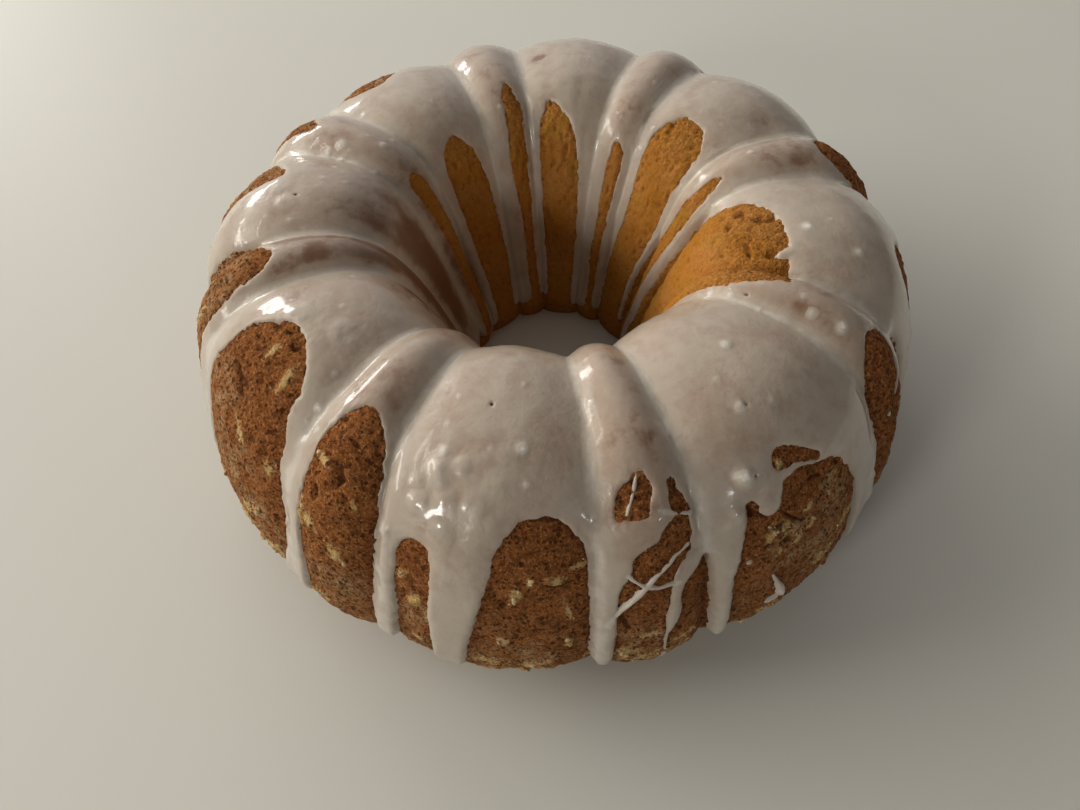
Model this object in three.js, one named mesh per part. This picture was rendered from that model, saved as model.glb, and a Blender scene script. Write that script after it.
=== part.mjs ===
// A ring-shaped cake turned out of a fluted tube pan: one solid of baked crumb with broad round
// lobes, and a narrow ridge between each lobe and the next.
// Lengths are millimetres and angles are degrees. The origin is the middle of the underside,
// +Z is up, and azimuth 0 is the -Y side, which is the front.

import * as THREE from 'three';
import { mergeVertices } from 'three/addons/utils/BufferGeometryUtils.js';

// Driving dimensions
const overallDiameter = 247;
const overallHeight = 85;
const restingDiameter = 214;
const holeDiameter = 60;
const lobeCount = 8;

// The first lobe is turned this far from the front, as the cake stands.
const firstLobeAzimuth = -10;

// The pan never leaves a perfect cake: each lobe's shift round the ring, and how much wider than
// the average its half angle is.
const lobeUnevenness = [
  { shift: -1.5, widening: 0 },
  { shift: -0.5, widening: 1.5 },
  { shift: 0, widening: 1 },
  { shift: 1.5, widening: -0.5 },
  { shift: 0.5, widening: -1 },
  { shift: 1, widening: -0.5 },
  { shift: 0.5, widening: -1 },
  { shift: -1.5, widening: 1.5 },
];

// Mesh fineness. The steps round the ring are shared out 2 to 1 between a lobe and a ridge.
const stepsPerLobe = 12;
const stepsPerRidge = 6;
const stepsPerSpan = 4;
const undersideSteps = 4;

// The crest line in a slice through the ring, from the resting edge up the outside, over the
// crown and down the inside to the hole. Each station also has the depth of the grooves there
// and a lobe's half angle.
const widestRadius = overallDiameter / 2;
const restingRadius = restingDiameter / 2;
const holeRadius = holeDiameter / 2;
const stations = [
  { radius: restingRadius, height: 0, grooveDepth: 3.5, halfAngle: 14.7 },
  { radius: widestRadius - 5.5, height: 10, grooveDepth: 5.5, halfAngle: 14.7 },
  { radius: widestRadius, height: 26, grooveDepth: 6.5, halfAngle: 14.7 },
  { radius: widestRadius - 12, height: overallHeight - 17, grooveDepth: 6.5, halfAngle: 14.9 },
  { radius: widestRadius - 39.5, height: overallHeight, grooveDepth: 6.5, halfAngle: 15.5 },
  { radius: holeRadius + 20.5, height: overallHeight - 10.5, grooveDepth: 5, halfAngle: 14.7 },
  { radius: holeRadius, height: 16, grooveDepth: 3, halfAngle: 13.8 },
  { radius: holeRadius, height: 0, grooveDepth: 2.5, halfAngle: 13.8 },
];

// How a lobe and a ridge round off towards the grooves beside them.
const lobeRoundness = 0.75;
const ridgeRoundness = 0.8;

// A groove is cut level, not tilted, below this height, so that the underside stays flat.
const levelGrooveHeight = 12;

const crustColour = 0x96592b;
const crustRoughness = 0.85;

const crest = new THREE.SplineCurve(stations.map((s) => new THREE.Vector2(s.radius, s.height)));
const spanCount = stations.length - 1;
const wallSteps = spanCount * stepsPerSpan;
const rowCount = wallSteps + undersideSteps + 1;
const columnsPerPeriod = stepsPerLobe + stepsPerRidge;
const columnCount = lobeCount * columnsPerPeriod;
const period = 360 / lobeCount;

// A station value at a place between stations, counted in spans from the resting edge.
function stationValue(name, place) {
  const before = Math.min(Math.floor(place), spanCount - 1);
  return THREE.MathUtils.lerp(stations[before][name], stations[before + 1][name], place - before);
}

// The azimuth of a lobe's edge, on the side of lower azimuth (-1) or of higher azimuth (1).
function lobeEdge(lobe, side, place) {
  const uneven = lobeUnevenness[lobe % lobeCount];
  const halfAngle = stationValue('halfAngle', place) + uneven.widening;
  return firstLobeAzimuth + lobe * period + uneven.shift + side * halfAngle;
}

// The azimuth of a mesh column, and its fullness: 1 on a crest and 0 at the bottom of a groove.
// Columns keep to the grooves, so each groove is a clean crease.
function columnAt(column, place) {
  const lobe = Math.floor(column / columnsPerPeriod);
  const step = column - lobe * columnsPerPeriod;
  const onLobe = step <= stepsPerLobe;
  const start = onLobe ? lobeEdge(lobe, -1, place) : lobeEdge(lobe, 1, place);
  const end = onLobe ? lobeEdge(lobe, 1, place) : lobeEdge(lobe + 1, -1, place);
  const share = onLobe ? step / stepsPerLobe : (step - stepsPerLobe) / stepsPerRidge;
  const fromCrest = 2 * share - 1;
  const roundness = onLobe ? lobeRoundness : ridgeRoundness;
  return {
    azimuth: THREE.MathUtils.lerp(start, end, share),
    fullness: Math.max(0, 1 - fromCrest * fromCrest) ** roundness,
  };
}

// A point of the wall: the crest line's point, moved into the cake by the groove's depth.
function wallPoint(column, row) {
  const place = (row / wallSteps) * spanCount;
  const { azimuth, fullness } = columnAt(column, place);
  const point = crest.getPoint(row / wallSteps);
  const tangent = crest.getTangent(row / wallSteps);
  const depth = (1 - fullness) * stationValue('grooveDepth', place);
  const tilt = Math.min(1, point.y / levelGrooveHeight);
  return {
    azimuth,
    radius: point.x - depth * tangent.y,
    height: point.y + depth * tangent.x * tilt,
  };
}

// A point of the flat underside, between the hole's edge and the resting edge.
function undersidePoint(column, row) {
  const share = (row - wallSteps) / undersideSteps;
  const holeEdge = wallPoint(column, wallSteps);
  const restingEdge = wallPoint(column, 0);
  return {
    azimuth: THREE.MathUtils.lerp(holeEdge.azimuth, restingEdge.azimuth, share),
    radius: THREE.MathUtils.lerp(holeEdge.radius, restingEdge.radius, share),
    height: 0,
  };
}

// The slice swept round the axis is a plain ring, and moving its points cuts the grooves.
function ringGeometry() {
  const slice = crest.getPoints(wallSteps);
  for (let step = 1; step <= undersideSteps; step += 1) {
    slice.push(slice[wallSteps].clone().lerp(slice[0], step / undersideSteps));
  }
  const ring = new THREE.LatheGeometry(slice, columnCount);
  const position = ring.getAttribute('position');
  for (let index = 0; index < position.count; index += 1) {
    const column = Math.floor(index / rowCount) % columnCount;
    const row = (index % rowCount) % (rowCount - 1);
    const point = row <= wallSteps ? wallPoint(column, row) : undersidePoint(column, row);
    const angle = THREE.MathUtils.degToRad(point.azimuth);
    position.setXYZ(
      index,
      point.radius * Math.sin(angle),
      -point.radius * Math.cos(angle),
      point.height,
    );
  }
  ring.deleteAttribute('normal');
  ring.deleteAttribute('uv');
  const closed = mergeVertices(ring);
  closed.computeVertexNormals();
  return closed;
}

const crust = new THREE.MeshStandardMaterial({
  color: crustColour,
  roughness: crustRoughness,
  metalness: 0,
});
const cake = new THREE.Mesh(ringGeometry(), crust);
cake.name = 'cake';

const group = new THREE.Group();
group.add(cake);

export default group;
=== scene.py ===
# %% [markdown]
# # A glazed ring cake
#
# The cake is baked upside down in a fluted tube pan, so its outside is one rule repeated: a broad
# round lobe, then a narrow ridge, eight times round a hole. A thin sugar glaze is poured over it
# while it is still warm. The glaze covers the crown, fills the grooves and runs down in drips, and
# bare crust shows between the drips.
#
# After the camera, the lesson follows the same order: the ring, the windows where the glaze left it
# bare, the finishes, the baked crust, the glaze, the small things that lie on both, and last the
# light. Sizes are written in millimetres, because a baker thinks in them, and each is multiplied by
# MM on its way into Blender, which works in metres.

import math

import bmesh
import bpy
import numpy as np
from mathutils import Matrix, Vector, noise
from mathutils.bvhtree import BVHTree


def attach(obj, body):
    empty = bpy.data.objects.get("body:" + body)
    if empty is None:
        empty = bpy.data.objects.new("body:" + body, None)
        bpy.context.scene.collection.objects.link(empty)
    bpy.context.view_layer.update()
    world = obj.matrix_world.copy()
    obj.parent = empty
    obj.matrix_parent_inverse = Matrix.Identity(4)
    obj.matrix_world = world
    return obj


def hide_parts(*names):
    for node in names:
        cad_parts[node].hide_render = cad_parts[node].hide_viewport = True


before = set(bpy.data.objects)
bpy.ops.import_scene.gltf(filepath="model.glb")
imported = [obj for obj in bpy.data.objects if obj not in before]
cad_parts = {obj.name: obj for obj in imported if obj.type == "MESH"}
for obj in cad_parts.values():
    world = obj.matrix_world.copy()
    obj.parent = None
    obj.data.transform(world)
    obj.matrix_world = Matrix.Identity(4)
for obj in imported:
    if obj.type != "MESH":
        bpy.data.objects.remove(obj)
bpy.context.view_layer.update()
MM = 0.001

# %% [markdown]
# ## The camera
#
# The camera looks down on the front of the cake from a little left of the middle. It is placed by
# the point that it looks at, how far away it is and how steeply it looks down, because those three
# are easy to reason about. It could be aimed with a Track To constraint instead, but that leaves no
# room for the small roll that keeps the view from looking stiff.

# %% The camera
CAMERA_TARGET = Vector((-5.5, -45, 40)) * MM
CAMERA_DISTANCE = 245 * MM
CAMERA_ELEVATION = math.radians(55.3)
CAMERA_ROLL = math.radians(-2.95)
LENS = 25.3
SENSOR_WIDTH = 36

camera_data = bpy.data.cameras.new("camera")
camera_data.lens = LENS
camera_data.sensor_width = SENSOR_WIDTH
camera_data.clip_start = 10 * MM
camera = bpy.data.objects.new("camera", camera_data)
backwards = Vector((0, -math.cos(CAMERA_ELEVATION), math.sin(CAMERA_ELEVATION)))
camera.location = CAMERA_TARGET + CAMERA_DISTANCE * backwards
look = Matrix.Rotation(math.pi / 2 - CAMERA_ELEVATION, 4, "X")
camera.rotation_euler = (look @ Matrix.Rotation(CAMERA_ROLL, 4, "Z")).to_euler()
bpy.context.scene.collection.objects.link(camera)
bpy.context.scene.camera = camera
print("camera at", [round(x / MM) for x in camera.location], "mm")

# %% [markdown]
# ## The crest line
#
# Cut the ring in half and its slice is a hump: up the outside, over the crown and down into the
# hole. The line over the tops of the lobes is called the crest line here. A smooth curve through
# eight stations gives it, with the depth of the grooves and the width of a lobe noted at each.
# It could be drawn as a Bezier curve, but a table of stations is easier to measure and to change.

# %% The stations of the crest line
OVERALL_DIAMETER = 247
OVERALL_HEIGHT = 85
RESTING_DIAMETER = 214
HOLE_DIAMETER = 60
widest = OVERALL_DIAMETER / 2
resting = RESTING_DIAMETER / 2
hole = HOLE_DIAMETER / 2
# Radius, height, groove depth and a lobe's half angle, from the resting edge over the crown.
STATIONS = [
    (resting, 0, 3, 14.7),
    (widest - 5.5, 10, 4, 14.7),
    (widest, 26, 4.6, 14.7),
    (widest - 12, OVERALL_HEIGHT - 17, 5.8, 14.9),
    (widest - 39.5, OVERALL_HEIGHT, 6.5, 15.5),
    (hole + 20.5, OVERALL_HEIGHT - 10.5, 5, 14.7),
    (hole, 16, 3, 13.8),
    (hole, 0, 2.5, 13.8),
]
SPANS = len(STATIONS) - 1


def crest_point(place):
    """Radius and height where the crest line has passed this many spans, on a spline."""
    before = min(int(place), SPANS - 1)
    share = place - before
    near = [STATIONS[min(max(before + step, 0), SPANS)] for step in (-1, 0, 1, 2)]
    p0, p1, p2, p3 = (np.array(station[:2], float) for station in near)
    v0 = (p2 - p0) / 2
    v1 = (p3 - p1) / 2
    cubic = 2 * p1 - 2 * p2 + v0 + v1
    square = -3 * p1 + 3 * p2 - 2 * v0 - v1
    return cubic * share**3 + square * share**2 + v0 * share + p1


def crest_outward(place):
    """The direction square to the crest line where it has passed this many spans."""
    ahead = crest_point(min(place + NUDGE, SPANS))
    tangent = ahead - crest_point(max(place - NUDGE, 0))
    tangent /= np.hypot(*tangent)
    return np.array((tangent[1], -tangent[0]))


# A short way along the crest line, in spans, to find its direction.
NUDGE = 0.01
PLACES = np.linspace(0, SPANS, 1401)
CREST = np.array([crest_point(place) for place in PLACES])
ARCS = np.concatenate([[0], np.cumsum(np.hypot(*np.diff(CREST, axis=0).T))])
WHOLE_ARC = ARCS[-1]
RADII = CREST[:, 0]
CROWN_ARC = float(np.interp(4, PLACES, ARCS))


def crest_radius(arc):
    """The radius of the crest line this far along it from the resting edge."""
    return np.interp(arc, ARCS, RADII)


print("crest line", round(WHOLE_ARC), "mm long, crown at", round(CROWN_ARC), "mm")

# %% [markdown]
# ## Small helpers for node trees
#
# Both the shapes and the finishes are node trees made in code. A helper that adds a node, sets it
# and joins its inputs in one call keeps each tree short enough to read as a recipe.


# %% Helpers for node trees
def join(tree, source, socket):
    """Links source to the socket if it is a socket, and otherwise sets the socket to it."""
    if isinstance(source, bpy.types.NodeSocket):
        tree.links.new(source, socket)
    else:
        socket.default_value = source


def add(tree, kind, inputs=None, **settings):
    """A new node with its settings, and its inputs by name or number."""
    made = tree.nodes.new(kind)
    for name, value in settings.items():
        setattr(made, name, value)
    for key, source in (inputs or {}).items():
        join(tree, source, made.inputs[key])
    return made


def calc(tree, operation, *terms):
    """The outcome of a Math node."""
    return add(tree, "ShaderNodeMath", dict(enumerate(terms)), operation=operation).outputs[0]


def vector_calc(tree, operation, *terms):
    """The outcome of a Vector Math node that gives a vector."""
    return add(tree, "ShaderNodeVectorMath", dict(enumerate(terms)), operation=operation).outputs["Vector"]


def scaled(tree, vector, factor):
    """A vector times a number."""
    made = add(tree, "ShaderNodeVectorMath", {0: vector, "Scale": factor}, operation="SCALE")
    return made.outputs["Vector"]


def noted(tree, name, kind="FLOAT"):
    """An attribute that a mesh carries, in a shape tree."""
    made = add(tree, "GeometryNodeInputNamedAttribute", {"Name": name}, data_type=kind)
    return made.outputs["Attribute"]


def new_shape_tree(name, sockets):
    """An empty Geometry Nodes tree with these named inputs, and its input node."""
    tree = bpy.data.node_groups.new(name, "GeometryNodeTree")
    for socket_name, kind, value in sockets:
        made = tree.interface.new_socket(socket_name, in_out="INPUT", socket_type=kind)
        if value is not None:
            made.default_value = value
    tree.interface.new_socket("Geometry", in_out="OUTPUT", socket_type="NodeSocketGeometry")
    return tree, tree.nodes.new("NodeGroupInput").outputs


def finish_tree(tree, geometry, material):
    """Ends a shape tree: instances made real, smooth shading, one material."""
    real = add(tree, "GeometryNodeRealizeInstances", {0: geometry}).outputs[0]
    smooth = add(tree, "GeometryNodeSetShadeSmooth", {0: real}).outputs[0]
    finished = add(tree, "GeometryNodeSetMaterial", {0: smooth, "Material": material})
    tree.links.new(finished.outputs[0], tree.nodes.new("NodeGroupOutput").inputs[0])
    print("tree", tree.name, "has", len(tree.nodes), "nodes")
    return tree


def grow(name, tree, start_mesh, material, values=None):
    """Runs a shape tree on a starting mesh, and gives the outcome as a plain mesh object."""
    start = bpy.data.objects.new(name + "_start", start_mesh)
    bpy.context.scene.collection.objects.link(start)
    modifier = start.modifiers.new("nodes", "NODES")
    modifier.node_group = tree
    values = {"Material": material, **(values or {})}
    for socket in tree.interface.items_tree:
        if socket.in_out == "INPUT" and hasattr(socket, "default_value"):
            modifier[socket.identifier] = values.get(socket.name, socket.default_value)
    start.update_tag()
    evaluated = start.evaluated_get(bpy.context.evaluated_depsgraph_get())
    mesh = bpy.data.meshes.new_from_object(evaluated)
    mesh.name = name
    while mesh.materials[0] is None:
        mesh.materials.pop(index=0)
    start.modifiers.clear()
    bpy.data.objects.remove(start)
    piece = bpy.data.objects.new(name, mesh)
    bpy.context.scene.collection.objects.link(piece)
    return piece


# %% [markdown]
# ## The fluted ring
#
# The ring follows a rule, so a Geometry Nodes tree makes it: a flat grid, with one column for each
# step round the ring and one row for each step of the slice, is bent into place. Each row reads
# the crest line, and each column works out whether it is on a lobe or on a ridge and how full
# that is: 1 on the crest and 0 at the bottom of a groove. A pan never leaves a perfect cake, so
# every lobe has a small shift and is a little wider or narrower than the rest.
#
# A lathe and a boolean for each groove would give the same ring, but without knowing where its
# lobes are. The tree notes that on every vertex, and the glaze needs it.

# %% The rule of the lobes
LOBES = 8
# The first lobe's azimuth, and how far each lobe is shifted and widened, in degrees.
FIRST_LOBE = -10
LOBE_SHIFTS = [-1.5, -0.5, 0, 1.5, 0.5, 1, 0.5, -1.5]
LOBE_WIDENINGS = [0, 1.5, 1, -0.5, -1, -0.5, -1, -0.3]
# Across a lobe or a ridge, 1 would be a parabola, and less is fuller at the sides.
LOBE_ROUNDNESS = 0.62
RIDGE_ROUNDNESS = 0.7
# Below this height in mm the grooves run level, so that the foot stays flat.
LEVEL_GROOVE_HEIGHT = 12
SAME_PLACE = 0.01 * MM


def crest_line_mesh(row_spacing):
    """The slice as a line of vertices, one for each row, that carry what the tree reads."""
    rows = round(WHOLE_ARC / row_spacing)
    arcs = np.linspace(0, WHOLE_ARC, rows + 1)
    places = np.interp(arcs, ARCS, PLACES)
    points = np.array([crest_point(place) for place in places])
    outward = np.array([crest_outward(place) for place in places])
    stations = np.array(STATIONS)
    depths = np.interp(places, range(SPANS + 1), stations[:, 2])
    half_angles = np.interp(places, range(SPANS + 1), stations[:, 3])
    grooves = -outward * depths[:, None]
    grooves[:, 1] *= np.minimum(1, points[:, 1] / LEVEL_GROOVE_HEIGHT)
    # The underside runs straight from the hole's edge back to the resting edge.
    steps = round((resting - hole) / (2 * row_spacing))
    for share in np.arange(1, steps) / steps:
        points = np.vstack([points, points[rows] * (1 - share) + points[0] * share])
        grooves = np.vstack([grooves, grooves[rows] * (1 - share) + grooves[0] * share])
        outward = np.vstack([outward, (0, -1)])
        depths = np.append(depths, depths[rows] * (1 - share) + depths[0] * share)
        angle = half_angles[rows] * (1 - share) + half_angles[0] * share
        half_angles = np.append(half_angles, angle)
        arcs = np.append(arcs, -1.0 if share > 0.5 else WHOLE_ARC + 1.0)
    mesh = bpy.data.meshes.new("crest line")
    edges = [(row, row + 1) for row in range(len(points) - 1)]
    mesh.from_pydata([(x * MM, 0, z * MM) for x, z in points], edges, [])
    for name, kind, values in (
        ("groove", "FLOAT_VECTOR", np.insert(grooves, 1, 0, 1) * MM),
        ("outward", "FLOAT_VECTOR", np.insert(outward, 1, 0, 1)),
        ("depth", "FLOAT", depths),
        ("half_angle", "FLOAT", half_angles),
        ("arc", "FLOAT", arcs),
    ):
        field = "vector" if kind == "FLOAT_VECTOR" else "value"
        attribute = mesh.attributes.new(name, kind, "POINT")
        attribute.data.foreach_set(field, np.ravel(values).astype(np.float32))
    return mesh


# %% The tree that bends a grid into the fluted ring
def fluted_ring_tree():
    """Bends a grid into the ring, and notes on it where the lobes, ridges and grooves are."""
    tree, given = new_shape_tree(
        "fluted ring",
        [
            ("Crest Line", "NodeSocketGeometry", None),
            ("Lobes", "NodeSocketInt", LOBES),
            ("Steps per Lobe", "NodeSocketInt", 30),
            ("Steps per Ridge", "NodeSocketInt", 16),
            ("First Lobe", "NodeSocketFloat", FIRST_LOBE),
            ("Lobe Roundness", "NodeSocketFloat", LOBE_ROUNDNESS),
            ("Ridge Roundness", "NodeSocketFloat", RIDGE_ROUNDNESS),
            ("Material", "NodeSocketMaterial", None),
        ],
    )
    lobes = given["Lobes"]
    lobe_steps = given["Steps per Lobe"]
    ridge_steps = given["Steps per Ridge"]

    # The grid, one unit a step, so a vertex's place in it is its column and its row.
    rows = add(tree, "GeometryNodeAttributeDomainSize", {0: given["Crest Line"]}).outputs[0]
    period_steps = calc(tree, "ADD", lobe_steps, ridge_steps)
    columns = calc(tree, "MULTIPLY", lobes, period_steps)
    sizes = {"Size X": columns, "Size Y": rows}
    sizes["Vertices X"] = calc(tree, "ADD", columns, 1)
    sizes["Vertices Y"] = calc(tree, "ADD", rows, 1)
    ring = add(tree, "GeometryNodeMeshGrid", sizes).outputs["Mesh"]
    cell = add(tree, "ShaderNodeSeparateXYZ", {0: add(tree, "GeometryNodeInputPosition").outputs[0]})
    column = calc(tree, "ROUND", calc(tree, "MULTIPLY_ADD", columns, 0.5, cell.outputs["X"]))
    column = calc(tree, "FLOORED_MODULO", column, columns)
    row = calc(tree, "ROUND", calc(tree, "MULTIPLY_ADD", rows, 0.5, cell.outputs["Y"]))
    row = calc(tree, "FLOORED_MODULO", row, rows)

    def read(name, kind):
        """What the crest line says at this row."""
        if name == "position":
            wanted = add(tree, "GeometryNodeInputPosition").outputs[0]
        else:
            wanted = noted(tree, name, kind)
        inputs = {"Geometry": given["Crest Line"], "Value": wanted, "Index": row}
        return add(tree, "GeometryNodeSampleIndex", inputs, data_type=kind).outputs["Value"]

    def pick(index, values):
        """The value with this number in a list."""
        switch = add(tree, "GeometryNodeIndexSwitch", data_type="FLOAT")
        while len(switch.index_switch_items) < len(values):
            switch.index_switch_items.new()
        join(tree, index, switch.inputs["Index"])
        for number, value in enumerate(values):
            switch.inputs[1 + number].default_value = value
        return switch.outputs[0]

    half_angle = read("half_angle", "FLOAT")
    period = calc(tree, "DIVIDE", 360, lobes)

    def lobe_edge(lobe, side):
        """The azimuth of a lobe's edge, in degrees: side -1 is its start and 1 its end."""
        which = calc(tree, "FLOORED_MODULO", lobe, lobes)
        middle = calc(tree, "MULTIPLY_ADD", lobe, period, given["First Lobe"])
        middle = calc(tree, "ADD", middle, pick(which, LOBE_SHIFTS))
        reach = calc(tree, "ADD", half_angle, pick(which, LOBE_WIDENINGS))
        return calc(tree, "MULTIPLY_ADD", reach, side, middle)

    # Where the column is: on which lobe or ridge, and how far across it.
    lobe = calc(tree, "FLOOR", calc(tree, "DIVIDE", column, period_steps))
    step = calc(tree, "SUBTRACT", column, calc(tree, "MULTIPLY", lobe, period_steps))
    on_ridge = calc(tree, "GREATER_THAN", step, lobe_steps)
    lobe_share = calc(tree, "DIVIDE", step, lobe_steps)
    ridge_share = calc(tree, "DIVIDE", calc(tree, "SUBTRACT", step, lobe_steps), ridge_steps)

    def either(on_lobe_value, on_ridge_value):
        """One value on a lobe and another on a ridge."""
        inputs = {"Factor": on_ridge, "A": on_lobe_value, "B": on_ridge_value}
        return add(tree, "ShaderNodeMix", inputs, data_type="FLOAT").outputs[0]

    share = either(lobe_share, ridge_share)
    start = either(lobe_edge(lobe, -1), lobe_edge(lobe, 1))
    end = either(lobe_edge(lobe, 1), lobe_edge(calc(tree, "ADD", lobe, 1), -1))
    azimuth = calc(tree, "MULTIPLY_ADD", calc(tree, "SUBTRACT", end, start), share, start)
    from_crest = calc(tree, "MULTIPLY_ADD", share, 2, -1)
    inside = calc(tree, "SUBTRACT", 1, calc(tree, "MULTIPLY", from_crest, from_crest))
    roundness = either(given["Lobe Roundness"], given["Ridge Roundness"])
    fullness = calc(tree, "POWER", calc(tree, "MAXIMUM", inside, 0), roundness)

    # The point in the slice, then the slice turned to its azimuth. The front is the -Y side.
    emptiness = calc(tree, "SUBTRACT", 1, fullness)
    cut = scaled(tree, read("groove", "FLOAT_VECTOR"), emptiness)
    in_slice = vector_calc(tree, "ADD", read("position", "FLOAT_VECTOR"), cut)
    quarter_back = calc(tree, "SUBTRACT", calc(tree, "RADIANS", azimuth), math.pi / 2)

    def turned(vector):
        """A vector of the slice, turned with it to its azimuth."""
        inputs = {"Vector": vector, "Angle": quarter_back}
        return add(tree, "ShaderNodeVectorRotate", inputs, rotation_type="Z_AXIS").outputs[0]

    # The notes come first, because they are worked out from the flat grid's own positions.
    for name, kind, value in (
        ("outward", "FLOAT_VECTOR", turned(read("outward", "FLOAT_VECTOR"))),
        ("fullness", "FLOAT", fullness),
        ("ridge", "FLOAT", calc(tree, "MULTIPLY", fullness, on_ridge)),
        ("depth", "FLOAT", read("depth", "FLOAT")),
        ("arc", "FLOAT", read("arc", "FLOAT")),
    ):
        inputs = {0: ring, "Name": name, "Value": value}
        ring = add(tree, "GeometryNodeStoreNamedAttribute", inputs, data_type=kind).outputs[0]
    ring = add(tree, "GeometryNodeSetPosition", {0: ring, "Position": turned(in_slice)}).outputs[0]
    merged = add(tree, "GeometryNodeMergeByDistance", {0: ring, "Distance": SAME_PLACE}).outputs[0]
    return finish_tree(tree, merged, given["Material"])


RING_TREE = fluted_ring_tree()
# How far a lobe and a ridge turn round the ring, and the radius in mm where their steps are measured.
LOBE_TURN = math.radians(29.4)
RIDGE_TURN = math.radians(15.6)
STEP_RADIUS = 118


def fluted_ring(name, spacing, material):
    """The ring as a mesh object whose cells on the outer wall are about this many mm."""
    steps = {
        "Steps per Lobe": round(LOBE_TURN * STEP_RADIUS / spacing),
        "Steps per Ridge": round(RIDGE_TURN * STEP_RADIUS / spacing),
    }
    return grow(name, RING_TREE, crest_line_mesh(spacing), material, steps)


# %% [markdown]
# ## Reading and changing a mesh as arrays
#
# What isn't a rule, such as where the glaze stopped, is worked out for all vertices at once with
# numpy. These helpers carry numbers between a mesh and arrays.


# %% Helpers for arrays
def numbers(mesh, name):
    """An attribute of the mesh's vertices as an array."""
    attribute = mesh.attributes[name]
    vector = attribute.data_type == "FLOAT_VECTOR"
    values = np.zeros(len(mesh.vertices) * (3 if vector else 1), np.float32)
    attribute.data.foreach_get("vector" if vector else "value", values)
    return values.reshape(-1, 3).astype(float) if vector else values.astype(float)


def note(mesh, **facts):
    """Writes arrays as attributes of the mesh's vertices."""
    for name, values in facts.items():
        attribute = mesh.attributes.new(name, "FLOAT", "POINT")
        attribute.data.foreach_set("value", np.asarray(values, np.float32))


def points_of(mesh):
    """The mesh's vertices in millimetres."""
    points = np.zeros(len(mesh.vertices) * 3, np.float32)
    mesh.vertices.foreach_get("co", points)
    return points.reshape(-1, 3).astype(float) / MM


def place_points(mesh, points):
    """Moves the mesh's vertices to these points in millimetres."""
    mesh.vertices.foreach_set("co", (points * MM).astype(np.float32).ravel())
    mesh.update()


def azimuths(points):
    """Degrees round the ring from the front, positive towards +X."""
    return np.degrees(np.arctan2(points[:, 0], -points[:, 1]))


def whereabouts(mesh):
    """The mesh's vertices in mm, with the azimuth and the arc of each."""
    points = points_of(mesh)
    return points, azimuths(points), numbers(mesh, "arc")


def lumps(points, size, seed):
    """Smooth noise between about -1 and 1, with bumps of this size in mm."""
    shift = Vector((seed * 17.3, seed * 5.1, seed * 31.7))
    return np.array([noise.noise(Vector(p) + shift) for p in points / size])


def ease(low, high, values):
    """0 below low, 1 above high and smooth between them. It falls if low is above high."""
    share = np.clip((values - low) / (high - low), 0, 1)
    return share * share * (3 - 2 * share)


def refine(mesh, wanted):
    """Cuts each face with a wanted vertex into four."""
    work = bmesh.new()
    work.from_mesh(mesh)
    edges = set()
    for face in work.faces:
        if any(wanted[vertex.index] for vertex in face.verts):
            edges.update(face.edges)
    bmesh.ops.subdivide_edges(work, edges=list(edges), cuts=1, use_grid_fill=True)
    work.to_mesh(mesh)
    work.free()


def triangle_count(mesh):
    """How many triangles the mesh comes to."""
    return sum(len(polygon.vertices) - 2 for polygon in mesh.polygons)


def thin_out(piece, share, first=0):
    """Keeps this share of the triangles, and changes only the vertices from this number on."""
    before = triangle_count(piece.data)
    group = piece.vertex_groups.new(name="thinned")
    group.add(list(range(first, len(piece.data.vertices))), 1.0, "REPLACE")
    modifier = piece.modifiers.new("decimate", "DECIMATE")
    modifier.ratio = share
    modifier.vertex_group = group.name
    evaluated = piece.evaluated_get(bpy.context.evaluated_depsgraph_get())
    mesh = bpy.data.meshes.new_from_object(evaluated)
    piece.modifiers.clear()
    piece.vertex_groups.clear()
    piece.data = mesh
    print(piece.name, "has", before, "triangles, thinned out to", triangle_count(mesh))


# %% [markdown]
# ## Where the glaze stopped
#
# The glaze ran down in drips and left windows of bare crust between them. A window is written as
# a few rows from bottom to top: how far along the crest line the row is, and the azimuths of the
# window's two sides there. A smooth outline goes through them. Painting the windows as a mask
# would be quicker, but a measured outline gives the distance to the glaze's edge, and from that
# comes the rounded lip where the glaze ends.

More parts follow.
